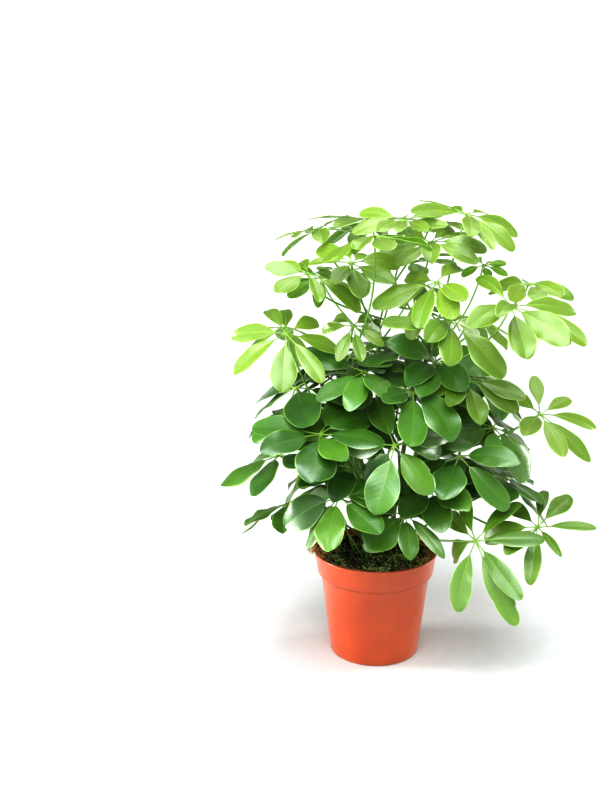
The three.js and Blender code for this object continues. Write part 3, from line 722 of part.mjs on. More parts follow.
// A point of a leaflet's midrib, with its normal and its sideways direction.
function midrib([e1, e2, n], leaflet, s) {
  const [azimuth, elevation, length, , roll, droop, bend, stalk] = leaflet;
  const er = e1.clone().multiplyScalar(Math.cos(rad(azimuth))).addScaledVector(e2, Math.sin(rad(azimuth)));
  const et = V(0, 0, 0).crossVectors(n, er);
  const b = Math.max(rad(droop), 1e-4);
  const a0 = rad(elevation) + b / 2;
  const x = (Math.sin(a0) - Math.sin(a0 - b * s)) / b;
  const y = (Math.cos(a0 - b * s) - Math.cos(a0)) / b;
  const p = er.clone().multiplyScalar(1.6 + length * x).addScaledVector(n, length * y).addScaledVector(et, bend * length * s * s);
  const th = a0 - b * s;
  const t = er.clone().multiplyScalar(Math.cos(th)).addScaledVector(n, Math.sin(th)).addScaledVector(et, 2 * bend * s).normalize();
  let up = er.clone().multiplyScalar(-Math.sin(th)).addScaledVector(n, Math.cos(th));
  up.addScaledVector(t, -up.dot(t)).normalize();
  const side = V(0, 0, 0).crossVectors(up, t);
  const turn = rad(roll) * Math.min(s / stalk, 1);
  const up2 = up.clone().multiplyScalar(Math.cos(turn)).addScaledVector(side, Math.sin(turn));
  const side2 = side.clone().multiplyScalar(Math.cos(turn)).addScaledVector(up, -Math.sin(turn));
  return { p, up: up2, side: side2 };
}

function bladeRing(frame, leaflet, u) {
  const [, , , width, , , , stalk, fold] = leaflet;
  const { p, up, side } = midrib(frame, leaflet, stalk + (1 - stalk) * u);
  const w = Math.max((width / 2) * bladeShape(u), 0.8);
  const f = u < 0.05 ? 0 : rad(fold);
  const h = u < 0.05 ? 0.65 : LEAF_THICKNESS / 2;
  return [
    p.clone().addScaledVector(side, -w * Math.cos(f)).addScaledVector(up, w * Math.sin(f)),
    p.clone().addScaledVector(up, h),
    p.clone().addScaledVector(side, w * Math.cos(f)).addScaledVector(up, w * Math.sin(f)),
    p.clone().addScaledVector(up, -h),
  ];
}

// The way out of the stem, square to its bark, where a leaf's stalk leaves it.
function outOfStem({ stem, z, hub }) {
  const c = stemAt(stem, z);
  const way = stemWay(stem, z);
  const out = V(hub[0] - c.x, hub[1] - c.y, 0);
  return out.addScaledVector(way, -out.dot(way)).normalize();
}

// A point near the stem, moved out until a stalk of this radius clears the bark.
function clearOfStem(leaf, point, radius) {
  const p = point.clone().add(V(...leaf.hub));
  const way = stemWay(leaf.stem, p.z);
  const d = p.sub(stemAt(leaf.stem, p.z));
  d.addScaledVector(way, -d.dot(way));
  const short = stemRadius(leaf.stem, p.z) + radius + GAP - d.length();
  return short > 0 && p.z < STEMS[leaf.stem][4] ? point.clone().addScaledVector(d.normalize(), short) : point;
}

function petioleCurve(leaf) {
  const { stem, z, hub, axis, arch } = leaf;
  const [k0, k1, rise, aim] = arch;
  const H = V(...hub);
  const n = V(...axis).normalize();
  const c = stemAt(stem, z);
  const out = V(H.x - c.x, H.y - c.y, 0).normalize();
  const square = outOfStem(leaf);
  const p0 = c.clone().addScaledVector(square, stemRadius(stem, z) + GAP);
  const chord = H.clone().sub(p0);
  const L = chord.length();
  chord.normalize();
  const t0 = chord.clone().multiplyScalar(0.75).addScaledVector(out, (1 - rise) * 1.2).add(V(0, 0, rise * 0.55)).normalize();
  const t1 = n.clone().multiplyScalar(aim).addScaledVector(chord, 1 - aim).normalize();
  return new THREE.CubicBezierCurve3(
    p0.sub(H), p0.clone().addScaledVector(t0, L * k0), t1.clone().multiplyScalar(-L * k1), V(0, 0, 0));
}

// One compound leaf, in its hub's own place: the stalk rises to a small hub, whose
// sides carry the leaflets' stalks, each of which widens to a folded blade.
function leafGeometry(leaf) {
  const frame = axes(V(...leaf.axis).normalize());
  const [e1, e2, n] = frame;
  const lobes = [...leaf.leaflets].sort((a, b) => a[0] - b[0]);
  const m = lobes.length;
  const points = [];
  const faces = [];
  const put = (p) => points.push(p) - 1;

  const top = [];
  const bottom = [];
  const edge = [];
  for (let k = 0; k < m; k++) {
    const a = lobes[k][0];
    const b = k + 1 < m ? lobes[k + 1][0] : lobes[0][0] + 360;
    const q = rad((a + b) / 2);
    edge.push(q);
    const r = e1.clone().multiplyScalar(Math.cos(q)).addScaledVector(e2, Math.sin(q)).multiplyScalar(HUB_R);
    top.push(put(r.clone().addScaledVector(n, HUB_HALF)));
    bottom.push(put(r.clone().addScaledVector(n, -HUB_HALF)));
  }
  for (let k = 1; k < m - 1; k++) faces.push([top[0], top[k], top[k + 1]]);

  // the four smallest leaflets of an eight-leaflet leaf take one ring fewer
  const small = m > 7 ? lobes.map((l, k) => [l[2] * l[3], k]).sort((a, b) => a[0] - b[0]).slice(0, 4).map((a) => a[1]) : [];
  lobes.forEach((leaflet, k) => {
    const prev = (k + m - 1) % m;
    const q = [top[prev], top[k], bottom[k], bottom[prev]];
    const stations = small.includes(k) ? [0, 0.4, 0.8] : [0, 0.3, 0.62, 0.88];
    const rings = stations.map((u) => bladeRing(frame, leaflet, u).map(put));
    const [le, up, ri, dn] = rings[0];
    faces.push([q[0], up, q[1]], [q[1], up, ri], [q[1], ri, q[2]], [q[2], ri, dn]);
    faces.push([q[2], dn, q[3]], [q[3], dn, le], [q[3], le, q[0]], [q[0], le, up]);
    for (let r = 0; r + 1 < rings.length; r++)
      for (let j = 0; j < 4; j++) {
        const [a, b] = [rings[r][j], rings[r][(j + 1) % 4]];
        const [c, d] = [rings[r + 1][(j + 1) % 4], rings[r + 1][j]];
        faces.push([a, d, c], [a, c, b]);
      }
    const tip = put(midrib(frame, leaflet, 1).p);
    const last = rings[rings.length - 1];
    for (let j = 0; j < 4; j++) faces.push([last[j], tip, last[(j + 1) % 4]]);
  });

  // the stalk, three-sided, from under the hub down to the stem
  const curve = petioleCurve(leaf);
  const L = curve.getLength();
  const stops = [1 - 3.2 / L, 0.68, 0.38, 0.13, 0];
  const radii = [PETIOLE_R, PETIOLE_R, PETIOLE_R * 1.05, PETIOLE_R * 1.2, PETIOLE_FOOT_R];
  let side = null;
  const rings = stops.map((t, r) => {
    const foot = r === stops.length - 1;
    const c = foot ? curve.getPoint(t) : clearOfStem(leaf, curve.getPoint(t), radii[r]);
    const way = curve.getTangent(t);
    side = (side || e1).clone();
    side.addScaledVector(way, -side.dot(way)).normalize();
    const across = V(0, 0, 0).crossVectors(way, side);
    if (foot) {
      // the last ring lies flat against the bark
      const lay = new THREE.Quaternion().setFromUnitVectors(way, outOfStem(leaf));
      side.applyQuaternion(lay);
      across.applyQuaternion(lay);
    }
    return [0, 1, 2].map((j) => {
      const a = (2 * Math.PI * j) / 3;
      return put(c.clone().addScaledVector(side, radii[r] * Math.cos(a)).addScaledVector(across, radii[r] * Math.sin(a)));
    });
  });
  for (let r = 0; r + 1 < rings.length; r++)
    for (let j = 0; j < 3; j++) {
      const [a, b] = [rings[r][j], rings[r][(j + 1) % 3]];
      const [c, d] = [rings[r + 1][(j + 1) % 3], rings[r + 1][j]];
      faces.push([a, d, c], [a, c, b]);
    }
  const foot = rings[rings.length - 1];
  faces.push([foot[0], foot[2], foot[1]]);

  // close the hub's underside onto the stalk's first ring, going round both together
  const turn = 2 * Math.PI;
  const middle = V(0, 0, 0);
  rings[0].forEach((i) => middle.addScaledVector(points[i], 1 / 3));
  const around = (p) => (Math.atan2(p.dot(e2), p.dot(e1)) + 2 * turn) % turn;
  const outer = bottom.map((i, k) => [(edge[k] + 2 * turn) % turn, i]).sort((a, b) => a[0] - b[0]);
  const inner = rings[0].map((i) => [around(points[i].clone().sub(middle)), i]).sort((a, b) => a[0] - b[0]);
  // start the inner ring at its nearest corner, and unwrap both from there
  const apart = (a, b) => Math.abs(((a - b + 3 * Math.PI) % turn) - Math.PI);
  let first = 0;
  inner.forEach((p, j) => { if (apart(p[0], outer[0][0]) < apart(inner[first][0], outer[0][0])) first = j; });
  const I = [...inner.slice(first), ...inner.slice(0, first)];
  const start = outer[0][0];
  const firstAngle = start + (((I[0][0] - start + 3 * Math.PI) % turn) - Math.PI);
  const angleO = [...outer.map((o) => o[0]), start + turn];
  const angleI = [...I.map((p) => firstAngle + ((p[0] - I[0][0] + turn) % turn)), firstAngle + turn];
  let i = 0;
  let j = 0;
  while (i < outer.length || j < I.length) {
    const o = outer[i % outer.length][1];
    const p = I[j % I.length][1];
    if (j >= I.length || (i < outer.length && angleO[i + 1] <= angleI[j + 1])) {
      faces.push([o, p, outer[(i + 1) % outer.length][1]]);
      i++;
    } else {
      faces.push([o, p, I[(j + 1) % I.length][1]]);
      j++;
    }
  }
  return ringsToGeometry(points, outward(points, faces));
}

// ---- assembly --------------------------------------------------------------------
const group = new THREE.Group();
group.name = "potted_umbrella_plant";

function add(name, geometry, colour, roughness, parent = group, position = null) {
  const mesh = new THREE.Mesh(geometry, new THREE.MeshStandardMaterial({ color: colour, roughness, metalness: 0 }));
  mesh.name = name;
  if (position) mesh.position.set(...position);
  parent.add(mesh);
  return mesh;
}

add("pot", potGeometry(), COLOURS.pot, 0.42);
add("soil", soilGeometry(), COLOURS.soil, 0.95);

const plant = new THREE.Group();
group.add(plant);
STEMS.forEach((_, i) => add(`stem_${i + 1}`, stemGeometry(i), COLOURS.stem, 0.6, plant));
LEAVES.forEach((leaf, i) => {
  const colour = COLOURS.young.clone().lerp(COLOURS.old, leaf.age);
  add(`leaf_${String(i + 1).padStart(2, "0")}`, leafGeometry(leaf), colour, 0.35, plant, leaf.hub);
});

export default group;
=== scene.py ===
"""A dwarf umbrella tree in an orange plastic nursery pot, on a pale studio floor.

The CAD frame gives every piece its place. Lengths in the tables are millimetres,
as in the frame's own source; meshes are made in metres.
"""
import math

import bpy
import numpy as np
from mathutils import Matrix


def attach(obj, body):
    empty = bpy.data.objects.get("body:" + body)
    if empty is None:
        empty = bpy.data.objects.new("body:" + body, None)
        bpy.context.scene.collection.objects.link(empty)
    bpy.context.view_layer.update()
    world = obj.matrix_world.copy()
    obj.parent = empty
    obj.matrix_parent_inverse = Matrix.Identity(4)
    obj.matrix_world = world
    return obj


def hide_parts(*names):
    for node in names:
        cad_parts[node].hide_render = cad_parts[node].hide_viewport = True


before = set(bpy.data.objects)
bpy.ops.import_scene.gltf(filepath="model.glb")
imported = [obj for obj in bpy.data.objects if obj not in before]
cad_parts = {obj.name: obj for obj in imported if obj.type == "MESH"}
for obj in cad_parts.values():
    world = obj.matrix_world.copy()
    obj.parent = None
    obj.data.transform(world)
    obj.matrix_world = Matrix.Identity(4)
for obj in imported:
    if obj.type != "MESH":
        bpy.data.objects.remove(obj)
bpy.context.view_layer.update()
scene = bpy.context.scene
MM = 0.001

# ---- the plant's skeleton, as in the frame ------------------------------------------
# Each stem: x, y at the soil, x, y at the top, top z, radius at the soil and at the top.
STEMS = [
    (-6, 0, -36, -34, 318, 2.9, 1.9),
    (13, -3, 46, -38, 336, 2.7, 1.8),
    (24, 14, 72, 18, 324, 2.8, 1.9),
    (5, 22, 2, 44, 346, 3, 1.9),
    (-11, 14, -59, 18, 298, 2.6, 1.8),
]
# Each leaf: stem, height on it, hub, axis, arch of the stalk, age, leaflets: azimuth,
# elevation, length, width, roll, droop, sideways bend, share that is stalk, fold.
LEAVES = [
    (4, 121.3, (-92.2, 17, 157.6), (-0.294, 0.127, 0.947), (0.37, 0.43, 1.04, 0.27), 0.86, [
        (-158.4, -6.1, 52.1, 26.6, 1.1, 25.7, -0.007, 0.176, 7.6),
        (-105.5, -22.6, 51, 24.4, 12, 30.5, 0.022, 0.18, 12.5),
        (-50.3, -22.2, 58.7, 31.2, 2.6, 35.8, -0.019, 0.151, 5.1),
        (6.8, -2.9, 60.9, 28.7, 0.1, 42.9, -0.013, 0.161, 4.6),
        (57.6, -26.8, 52.6, 25.4, -1.3, 28.1, -0.003, 0.184, 10.6),
        (107.4, -31.4, 60.7, 31.7, 11.1, 39.4, -0.03, 0.187, 3.1),
        (158.3, -19.7, 63.4, 34.8, 3.5, 18.6, 0.062, 0.166, 5.2)]),
    (1, 128, (89.7, -99.5, 159.8), (-0.575, -0.498, 0.648), (0.4, 0.2, 0.45, 0.26), 0.5, [
        (-128.8, -26.2, 71.9, 25.2, 15.5, 34.8, -0.013, 0.182, 8.1),
        (-80.7, -31.1, 86.9, 21.3, 1.7, 19.3, -0.004, 0.171, 10.2),
        (-62.5, -15.3, 73.2, 19.3, 0, 26.9, -0.035, 0.184, 7.2),
        (-7.1, -25, 64.1, 19, 4.5, 23.8, 0.029, 0.179, 8.4),
        (48.4, -26.5, 64.6, 21, 2.8, 23.3, 0.029, 0.149, 9.7),
        (103.8, -9.5, 69.7, 15.5, -3.4, 17.5, -0.048, 0.145, 11.6),
        (124.7, -17.9, 71.9, 17.5, 0, 27.1, -0.014, 0.172, 9),
        (156.6, -43.1, 76.2, 22.5, 26.2, 30.2, -0.007, 0.172, 11.1)]),
    (2, 163.7, (154.7, -71.6, 163.7), (-0.126, -0.334, 0.934), (0.37, 0.37, 0.81, 0.71), 0.35, [
        (-130.6, 9.2, 59.1, 19.7, 8.6, 28.7, 0.024, 0.194, 17.4),
        (-106.8, -30.5, 58.5, 17.6, 0, 23.4, -0.019, 0.152, 17.5),
        (-80.3, 9.8, 58.5, 8.8, -6.9, 30.6, 0.05, 0.167, 13.8),
        (-16.9, 2.2, 54.9, 14.5, -0.1, 27.9, 0.073, 0.193, 10.4),
        (46.1, -0.7, 58.7, 19, -15.5, 16, 0.008, 0.201, 9.1),
        (73.9, -4.3, 63.9, 12.6, -5.2, 37.6, -0.006, 0.18, 9.9),
        (110.8, -13.8, 59.7, 16.9, 20.6, 11.7, -0.018, 0.175, 19.7),
        (163.5, -25.1, 58.5, 23.5, 29.2, 38, 0.001, 0.176, 15.8)]),
    (3, 122, (-10.7, 115.1, 165.8), (-0.051, 0.421, 0.906), (0.33, 0.36, 0.8, 0.65), 0.91, [
        (-135.3, -23.7, 61, 28.5, 8.2, 38.2, 0.033, 0.196, 9.9),
        (-87.9, -22.9, 58.7, 29.5, 7.1, 32.2, -0.001, 0.174, 11.7),
        (-35.5, -23.1, 70.1, 35.5, 10.5, 34.1, -0.066, 0.153, 6.1),
        (20.2, -30.8, 60, 31.5, 0.8, 29, 0.02, 0.197, 4.1),
        (65.2, -26.2, 64.8, 32.3, -9.4, 32.5, 0.033, 0.142, 7.1),
        (116.3, -13.4, 73.5, 37.3, -7.9, 27.9, 0.001, 0.174, 7.2),
        (169.7, -28.9, 63.2, 30.2, 2.8, 26.6, -0.043, 0.166, 4.6)]),
    (1, 120, (22.7, -84.4, 182.5), (0.221, -0.5, 0.837), (0.2, 0.26, 0.37, 0.8), 0.72, [
        (-177.3, -19.7, 53.5, 19.7, -7.6, 20, 0.001, 0.194, 9.4),
        (-130.8, -11.6, 57.8, 34.7, 1.7, 21.8, -0.039, 0.177, 9.1),
        (-88.7, -7.7, 50.4, 21.4, 3.8, 25.1, 0.038, 0.182, 8.8),
        (-53.2, -2.3, 57.8, 14.5, -15.5, 25.2, 0.022, 0.148, 6.7),
        (-3.5, 0.1, 48.5, 20.5, 5, 29.1, -0.016, 0.147, 8.3),
        (48.8, -24.1, 59.1, 22.3, -20.6, 15.6, 0.006, 0.185, 12.3),
        (82.1, 2.8, 57.8, 19.4, 5.2, 34.2, 0.026, 0.188, 9.5),
        (127.8, -13.2, 52, 20.3, -0.8, 30.6, 0.007, 0.187, 10)]),
    (2, 120, (109.4, 61, 184.7), (0.232, 0.206, 0.951), (0.35, 0.55, 0.1, 0.81), 1, [
        (-151.2, -5.7, 59.5, 29.5, 0.8, 15.7, 0.057, 0.186, 9.3),
        (-96.6, -9.7, 63.6, 29.8, -8.7, 21.9, -0.051, 0.189, 4.5),
        (-35.1, -0.4, 63.3, 35, 3.4, 21.3, 0.01, 0.169, 6.2),
        (7.6, -2.3, 70.8, 33.6, -9.8, 21.5, 0.019, 0.197, 6),
        (53.1, -12.1, 73.3, 38.9, 8.4, 37.2, -0.012, 0.191, 11),
        (85.1, 3.3, 60.4, 32.1, -5.5, 22, -0.01, 0.2, 9.9),
        (116, -0.9, 68.7, 36.4, -20.3, 29.4, 0.035, 0.184, 5.4),
        (161.3, 3.7, 64.2, 32.6, -2.9, 18.5, -0.042, 0.167, 11.9)]),
    (4, 164.7, (-51.6, 81.4, 193.1), (-0.34, 0.086, 0.936), (0.16, 0.53, 0.7, 0.55), 0.79, [
        (-157.2, -27.8, 70.1, 38.5, -10.5, 14.1, -0.01, 0.148, 3.7),
        (-118.6, -14.5, 66.7, 34.4, 0.9, 21.9, -0.001, 0.181, 12),
        (-63.2, -28, 70.7, 39.8, -11.2, 18, -0.064, 0.188, 5.5),
        (-20.3, -16.5, 67.7, 33.3, -9, 28.6, 0.007, 0.183, 4.5),
        (20.2, -24.9, 60.2, 30.6, 2.5, 35.4, 0.023, 0.183, 9.1),
        (66.6, -19.8, 60.8, 30.9, -19.4, 18.3, -0.03, 0.166, 5.9),
        (115.3, -30.3, 65.8, 36.5, -22.1, 24.7, 0.041, 0.158, 7.1),
        (161, -26.3, 61.7, 35.3, -1.8, 14.1, 0.023, 0.197, 4.1)]),
    (4, 134.5, (131.3, -11.8, 196.1), (0.416, -0.001, 0.909), (0.25, 0.29, 0.25, 0.82), 0.86, [
        (-170.5, -19.8, 69.6, 37.3, 7.6, 29.2, -0.072, 0.165, 5.3),
        (-147.1, -35, 54.2, 31.6, 7, 27, -0.032, 0.145, 6.3),
        (-103.8, -14.5, 67.9, 39.2, -6.3, 25.3, -0.018, 0.161, 11.7),
        (-56.9, 1, 56.5, 33, 4.8, 8.3, -0.05, 0.144, 8.7),
        (-21, -21.1, 65.7, 34.2, 8.3, 17.4, -0.043, 0.184, 7.5),
        (43.7, -18.8, 66, 39.5, 1.8, 34.4, -0.001, 0.16, 4.7),
        (86.3, -22.8, 63.2, 36.1, -21.7, 33.1, -0.002, 0.199, 11),
        (146.7, -13.9, 63.2, 34.7, -18.9, 17.5, -0.008, 0.197, 6.3)]),
    (2, 189.7, (51, -56.6, 197.1), (-0.31, -0.211, 0.927), (0.24, 0.21, 0.61, 0.71), 0.95, [
        (-178.5, -1.2, 53.9, 27.2, -5.8, 35.6, 0.074, 0.165, 7),
        (-121.9, 11.3, 61.8, 27.3, 22.3, 20.9, 0.033, 0.17, 8.2),
        (-89.4, -9.1, 61.8, 29.1, 0, 31.3, 0.007, 0.166, 5.5),
        (-56.6, -1.1, 60.7, 28.7, -12, 48.3, -0.024, 0.167, 9),
        (-2.7, -4, 57.8, 24.6, -2.3, 42.8, 0.087, 0.149, 12.7),
        (51.9, -8.9, 62.6, 24.5, -23.4, 31.7, 0.04, 0.167, 11.4),
        (85, 6.3, 64.5, 25.1, -1.7, 20.8, 0.064, 0.167, 6.3),
        (108.1, -9.5, 58.1, 23.4, 22.3, 8.9, 0.046, 0.162, 10.1)]),
    (0, 178.1, (-42.4, -102.5, 205.4), (-0.243, -0.205, 0.948), (0.43, 0.46, 0.1, 0.25), 0.9, [
        (-178.1, -18.3, 60.4, 36.9, 32.7, 30.3, -0.013, 0.198, 12.6),
        (-144.3, -34, 56, 24.6, -4.5, 27.7, -0.006, 0.167, 8.1),
        (-110.8, -21.9, 60.5, 30.1, 5.2, 32.8, 0.049, 0.176, 10.3),
        (-55.8, -17.1, 60.4, 28.3, -6.9, 2.9, 0.003, 0.183, 13),
        (-20, -21.1, 55.5, 24.3, 8.7, 44.2, 0.01, 0.144, 12.3),
        (-6.9, -10.6, 56.8, 22.9, -13.2, 37.8, -0.002, 0.183, 12),
        (65.1, -34.7, 50.2, 23.7, -7.7, 32.4, -0.006, 0.159, 4.2),
        (127, -23.3, 70.2, 20.9, 43, 15.9, 0.01, 0.181, 5.7)]),
    (1, 153.8, (-27.5, -61.6, 220.3), (0.132, -0.221, 0.966), (0.2, 0.24, 0.41, 0.37), 0.97, [
        (-153.3, -8.9, 59.8, 23.7, 2.1, 21.4, 0.023, 0.175, 12.7),
        (-111.6, -4.4, 60.5, 27.3, 2.4, 38.4, 0.034, 0.158, 12.4),
        (-75.8, -12.5, 61.6, 29.1, -8.6, 20.3, 0.005, 0.191, 3),
        (-22.1, -5.9, 55.6, 22.6, -2, 22.5, 0.001, 0.172, 12.5),
        (28.7, -16.7, 60.4, 27, -37.8, 19.8, 0.011, 0.151, 5.5),
        (63.3, 5.5, 63.3, 27.1, -9.5, 36.8, 0.043, 0.193, 12.4),
        (122.4, -17.5, 69.7, 27.3, 39.3, 22.3, 0.063, 0.166, 6),
        (168.3, -3.3, 59.8, 26.7, -16.5, 29.9, 0.026, 0.179, 4.3)]),
    (0, 181.2, (-100.4, -44.9, 229.9), (-0.418, -0.071, 0.906), (0.51, 0.3, 0.4, 0.37), 0.85, [
        (-166.8, -0.3, 64.6, 30.8, 1.1, 19.5, -0.006, 0.198, 4.5),
        (-115.1, -6.8, 65.1, 32.4, -1.6, 28.7, 0.011, 0.151, 4.8),
        (-55.5, -6.3, 56.5, 29.8, 9.8, 18.7, -0.053, 0.162, 12),
        (-6.1, -10.8, 61.7, 33.3, 11.7, 34.2, 0.053, 0.144, 7.9),
        (45.7, -13.8, 58.4, 29.6, -9.7, 4.6, -0.023, 0.176, 8.1),
        (100.1, 5.5, 58.1, 29, 1.9, 7, -0.039, 0.18, 6.8),
        (151, -12.9, 56, 28.6, -5.6, 36.4, -0.093, 0.156, 12.7)]),
    (2, 217.7, (74.5, -71, 236.6), (-0.221, -0.418, 0.881), (0.33, 0.12, 1.15, 0.48), 0.95, [
        (-164.9, -16.7, 58.7, 25.3, 0.8, 34.4, -0.031, 0.188, 8.4),
        (-110.4, 0.9, 57.7, 34, 0, 9.9, 0, 0.179, 12.3),
        (-49, -43.8, 70, 25.2, -8.6, 27.5, 0.083, 0.187, 12),
        (-24.7, 4.3, 62.6, 21.9, -22.3, 36.6, -0.031, 0.154, 5),
        (7.8, -21, 62.4, 24.5, -20.6, 2.9, 0.059, 0.155, 3.7),
        (61.1, -5.6, 62.4, 23.5, -8.6, 30.5, 0.066, 0.168, 3.1),
        (81.3, -11.8, 63, 21.3, -3.4, 29.1, 0.008, 0.158, 5.2),
        (138.2, -12, 56.6, 23.6, 11.5, 27.9, -0.012, 0.143, 5)]),
    (0, 158.3, (-26.9, 108.2, 249.2), (-0.187, 0.334, 0.924), (0.36, 0.36, 1.25, 0.56), 0.81, [
        (-165.2, -25.7, 65.5, 34.7, 6.4, 25.4, 0.035, 0.176, 7.4),
        (-124, -21.2, 61.9, 32.1, -8, 27.6, -0.026, 0.154, 11.4),
        (-72.2, -19.1, 56.9, 32.3, -4, 43.8, -0.027, 0.18, 4.5),
        (-20.8, -56.8, 59.9, 31.9, 2.1, 24.7, 0.016, 0.17, 6.6),
        (30.5, -38.1, 63.8, 35, 5.3, 28.5, 0.045, 0.172, 9.9),
        (80.8, -40.7, 55.6, 28.3, 4.5, 2.9, 0.048, 0.142, 9.9),
        (130.7, -23.7, 58.3, 33.7, 0.3, 21.2, 0.009, 0.199, 7.4)]),
    (3, 162, (111.9, -40.1, 256.9), (0.401, -0.4, 0.824), (0.23, 0.18, 1.23, 0.9), 0.84, [
        (-147.3, -18.8, 62.6, 32.3, -1.8, 39.7, -0.037, 0.162, 9.6),
        (-95.1, -3.3, 52, 26.1, 1.2, 31.6, 0.03, 0.179, 10.4),
        (-34.8, -23.4, 64.5, 36.1, -23.1, 40.2, 0.015, 0.146, 7.7),
        (8.8, -17.7, 54, 26.6, 6.5, 27.4, 0.004, 0.175, 7.3),
        (61, -23.1, 61.8, 36.8, -12.5, 28, -0.055, 0.157, 11.1),
        (128, -11.3, 51.2, 28.8, -11.3, 31.6, -0.019, 0.141, 11.7),
        (173, -20.6, 52.2, 28.9, 11.2, 36.1, -0.068, 0.173, 4.1)]),
    (2, 203.8, (106.7, 35.7, 258.1), (0.509, 0.163, 0.845), (0.15, 0.5, 0.68, 0.3), 0.93, [
        (-171.5, -5.5, 58.4, 29.9, -8.7, 19.9, 0.093, 0.149, 4.8),
        (-113.7, -23.8, 58.8, 34, 7.3, 37.6, 0.032, 0.195, 10.6),
        (-74, -33.8, 56.3, 28.7, -17.2, 32.8, -0.052, 0.165, 4.7),
        (-17.6, -28.3, 50.1, 29.1, -5.5, 17.4, -0.048, 0.149, 9.5),
        (30.4, -39.3, 57.1, 31.9, -1.1, 20.7, -0.023, 0.16, 10.6),
        (108.2, -36.5, 60.8, 34.2, -2.7, 31.7, -0.017, 0.189, 12),
        (128.7, -22.1, 62.1, 36, -4.5, 34.4, 0.025, 0.18, 3.1)]),
    (1, 200.2, (8.5, -111.5, 259.3), (-0.193, -0.723, 0.664), (0.35, 0.34, 1.3, 0.39), 0.88, [
        (-147.9, -61.6, 70.6, 29.7, 13.8, 24.5, -0.12, 0.158, 6.3),
        (-107.2, -16.7, 66.1, 33.6, 0, 9.9, -0.068, 0.189, 11.6),
        (-52.4, -25.5, 55.9, 27.1, 8.4, 22.5, 0.002, 0.155, 4.3),
        (14.8, -49.3, 65.6, 25.2, -17.2, 44.2, 0.027, 0.167, 7),
        (24.5, -34.8, 65.4, 21, -12, 37.2, 0.008, 0.157, 8),
        (70, -44, 63.9, 25.4, -3.1, 2.9, -0.03, 0.154, 9.8),
        (106.1, -21.5, 71.1, 26, 0, 22.9, 0.037, 0.18, 10.8),
        (152.8, -37.1, 67.9, 26.1, 6.9, 7.8, 0.061, 0.156, 3.1)]),
    (1, 192.1, (-91.5, 18.9, 262.3), (-0.103, -0.002, 0.995), (0.39, 0.5, 1.12, 0.47), 1, [
        (-141.4, -27.5, 55.2, 27.7, 3.7, 24.5, 0.061, 0.157, 10.1),
        (-81, -27.3, 52.5, 25.4, -0.7, 32.7, -0.027, 0.171, 11.2),
        (-26.5, -31.8, 55.4, 24.7, -0.9, 17.6, -0.004, 0.169, 3.5),
        (22.3, -29.7, 59.9, 30.3, -24.5, 19.8, -0.019, 0.141, 3.1),
        (51.6, -41.9, 49.6, 24.9, -2.8, 31.9, 0.061, 0.14, 10.1),
        (102.4, -28, 49.9, 26.9, -4.1, 23.2, -0.05, 0.193, 9.1),
        (124.4, -37, 66.3, 31, -8, 14.6, -0.021, 0.183, 9.6),
        (175.2, -33.8, 52.8, 24.6, -4.2, 27.7, 0.03, 0.171, 9.5)]),
    (3, 179.8, (30.9, 91.7, 264.2), (0.092, 0.051, 0.994), (0.15, 0.52, 0.23, 0.76), 0.97, [
        (-154.4, -32.9, 57.7, 26, -3.4, 18.5, -0.054, 0.156, 9.4),
        (-109.6, -19.8, 50.2, 26.1, -10.5, 21.1, 0.058, 0.184, 3.6),
        (-67.7, -33.8, 51.2, 23.9, 5.8, 20.8, 0.026, 0.195, 8.5),
        (-10.4, -8.7, 50, 22.8, -11.7, 34.5, 0.02, 0.186, 9.5),
        (23.7, -30.3, 52.3, 24.5, 12.4, 38.9, -0.022, 0.176, 4),
        (68.6, -20.7, 55.2, 25.3, -4.8, 27.1, -0.065, 0.172, 3.4),
        (110.9, -33, 51.8, 26.2, 9.7, 20, -0.065, 0.177, 9.1),
        (160.5, -8.2, 59.8, 31, -2.5, 16.5, 0.059, 0.143, 7)]),
    (0, 225.4, (-61.3, -94.9, 265.6), (0.037, -0.333, 0.942), (0.47, 0.34, 0.23, 0.78), 0.92, [
        (-150.7, 3.4, 63.8, 26.3, 24.1, 15.8, 0.061, 0.189, 6.1),
        (-93.8, -6.8, 65.7, 40.2, 2.2, 32, -0.052, 0.148, 4.2),
        (-75.4, 13.8, 64.7, 25.3, -9.4, 9.7, 0.068, 0.144, 4.2),
        (-26, 10.7, 63.8, 28.1, -4.5, 23.6, -0.021, 0.151, 9.6),
        (40, -4.4, 64.9, 29.8, -22.5, 33.6, -0.094, 0.181, 9.3),
        (65.7, 3.4, 65.4, 26, -18.1, 7.2, -0.029, 0.182, 4.2),
        (167.2, -4.7, 64.7, 29.1, 12.8, 17.7, 0.002, 0.183, 10.7)]),
    (2, 226.4, (-40.9, -38.8, 271.6), (-0.071, -0.143, 0.987), (0.29, 0.14, 1.3, 0.87), 0.93, [
        (-130.4, -5.2, 60.3, 34.5, 36.1, 44.5, 0.028, 0.159, 4.8),
        (-82.7, -7.8, 58.2, 33.6, 2.2, 19.3, 0.073, 0.182, 4.2),
        (-16.6, -30.6, 69, 39, 3.1, 32.3, 0.012, 0.168, 5.9),
        (-6.1, -8.9, 60.8, 28.3, 10.3, 16.5, -0.013, 0.179, 8.6),
        (7.2, -38.8, 61.8, 30.6, -4, 22.5, -0.033, 0.183, 11.6),
        (80.2, -23.9, 60.3, 28.2, 9.7, 48.9, 0.025, 0.148, 11),
        (125.5, -8.2, 64.1, 35.1, -11.1, 32.2, 0.076, 0.152, 4.1),
        (177.9, -15.4, 58.1, 25.8, -18, 18.4, -0.053, 0.174, 11.7)]),
    (1, 208.5, (152.5, -64.4, 277.2), (0.202, -0.33, 0.922), (0.35, 0.27, 0.42, 0.38), 0.12, [
        (-118.9, 7.1, 57.9, 21.2, -3.9, 19.5, 0.039, 0.161, 19.4),
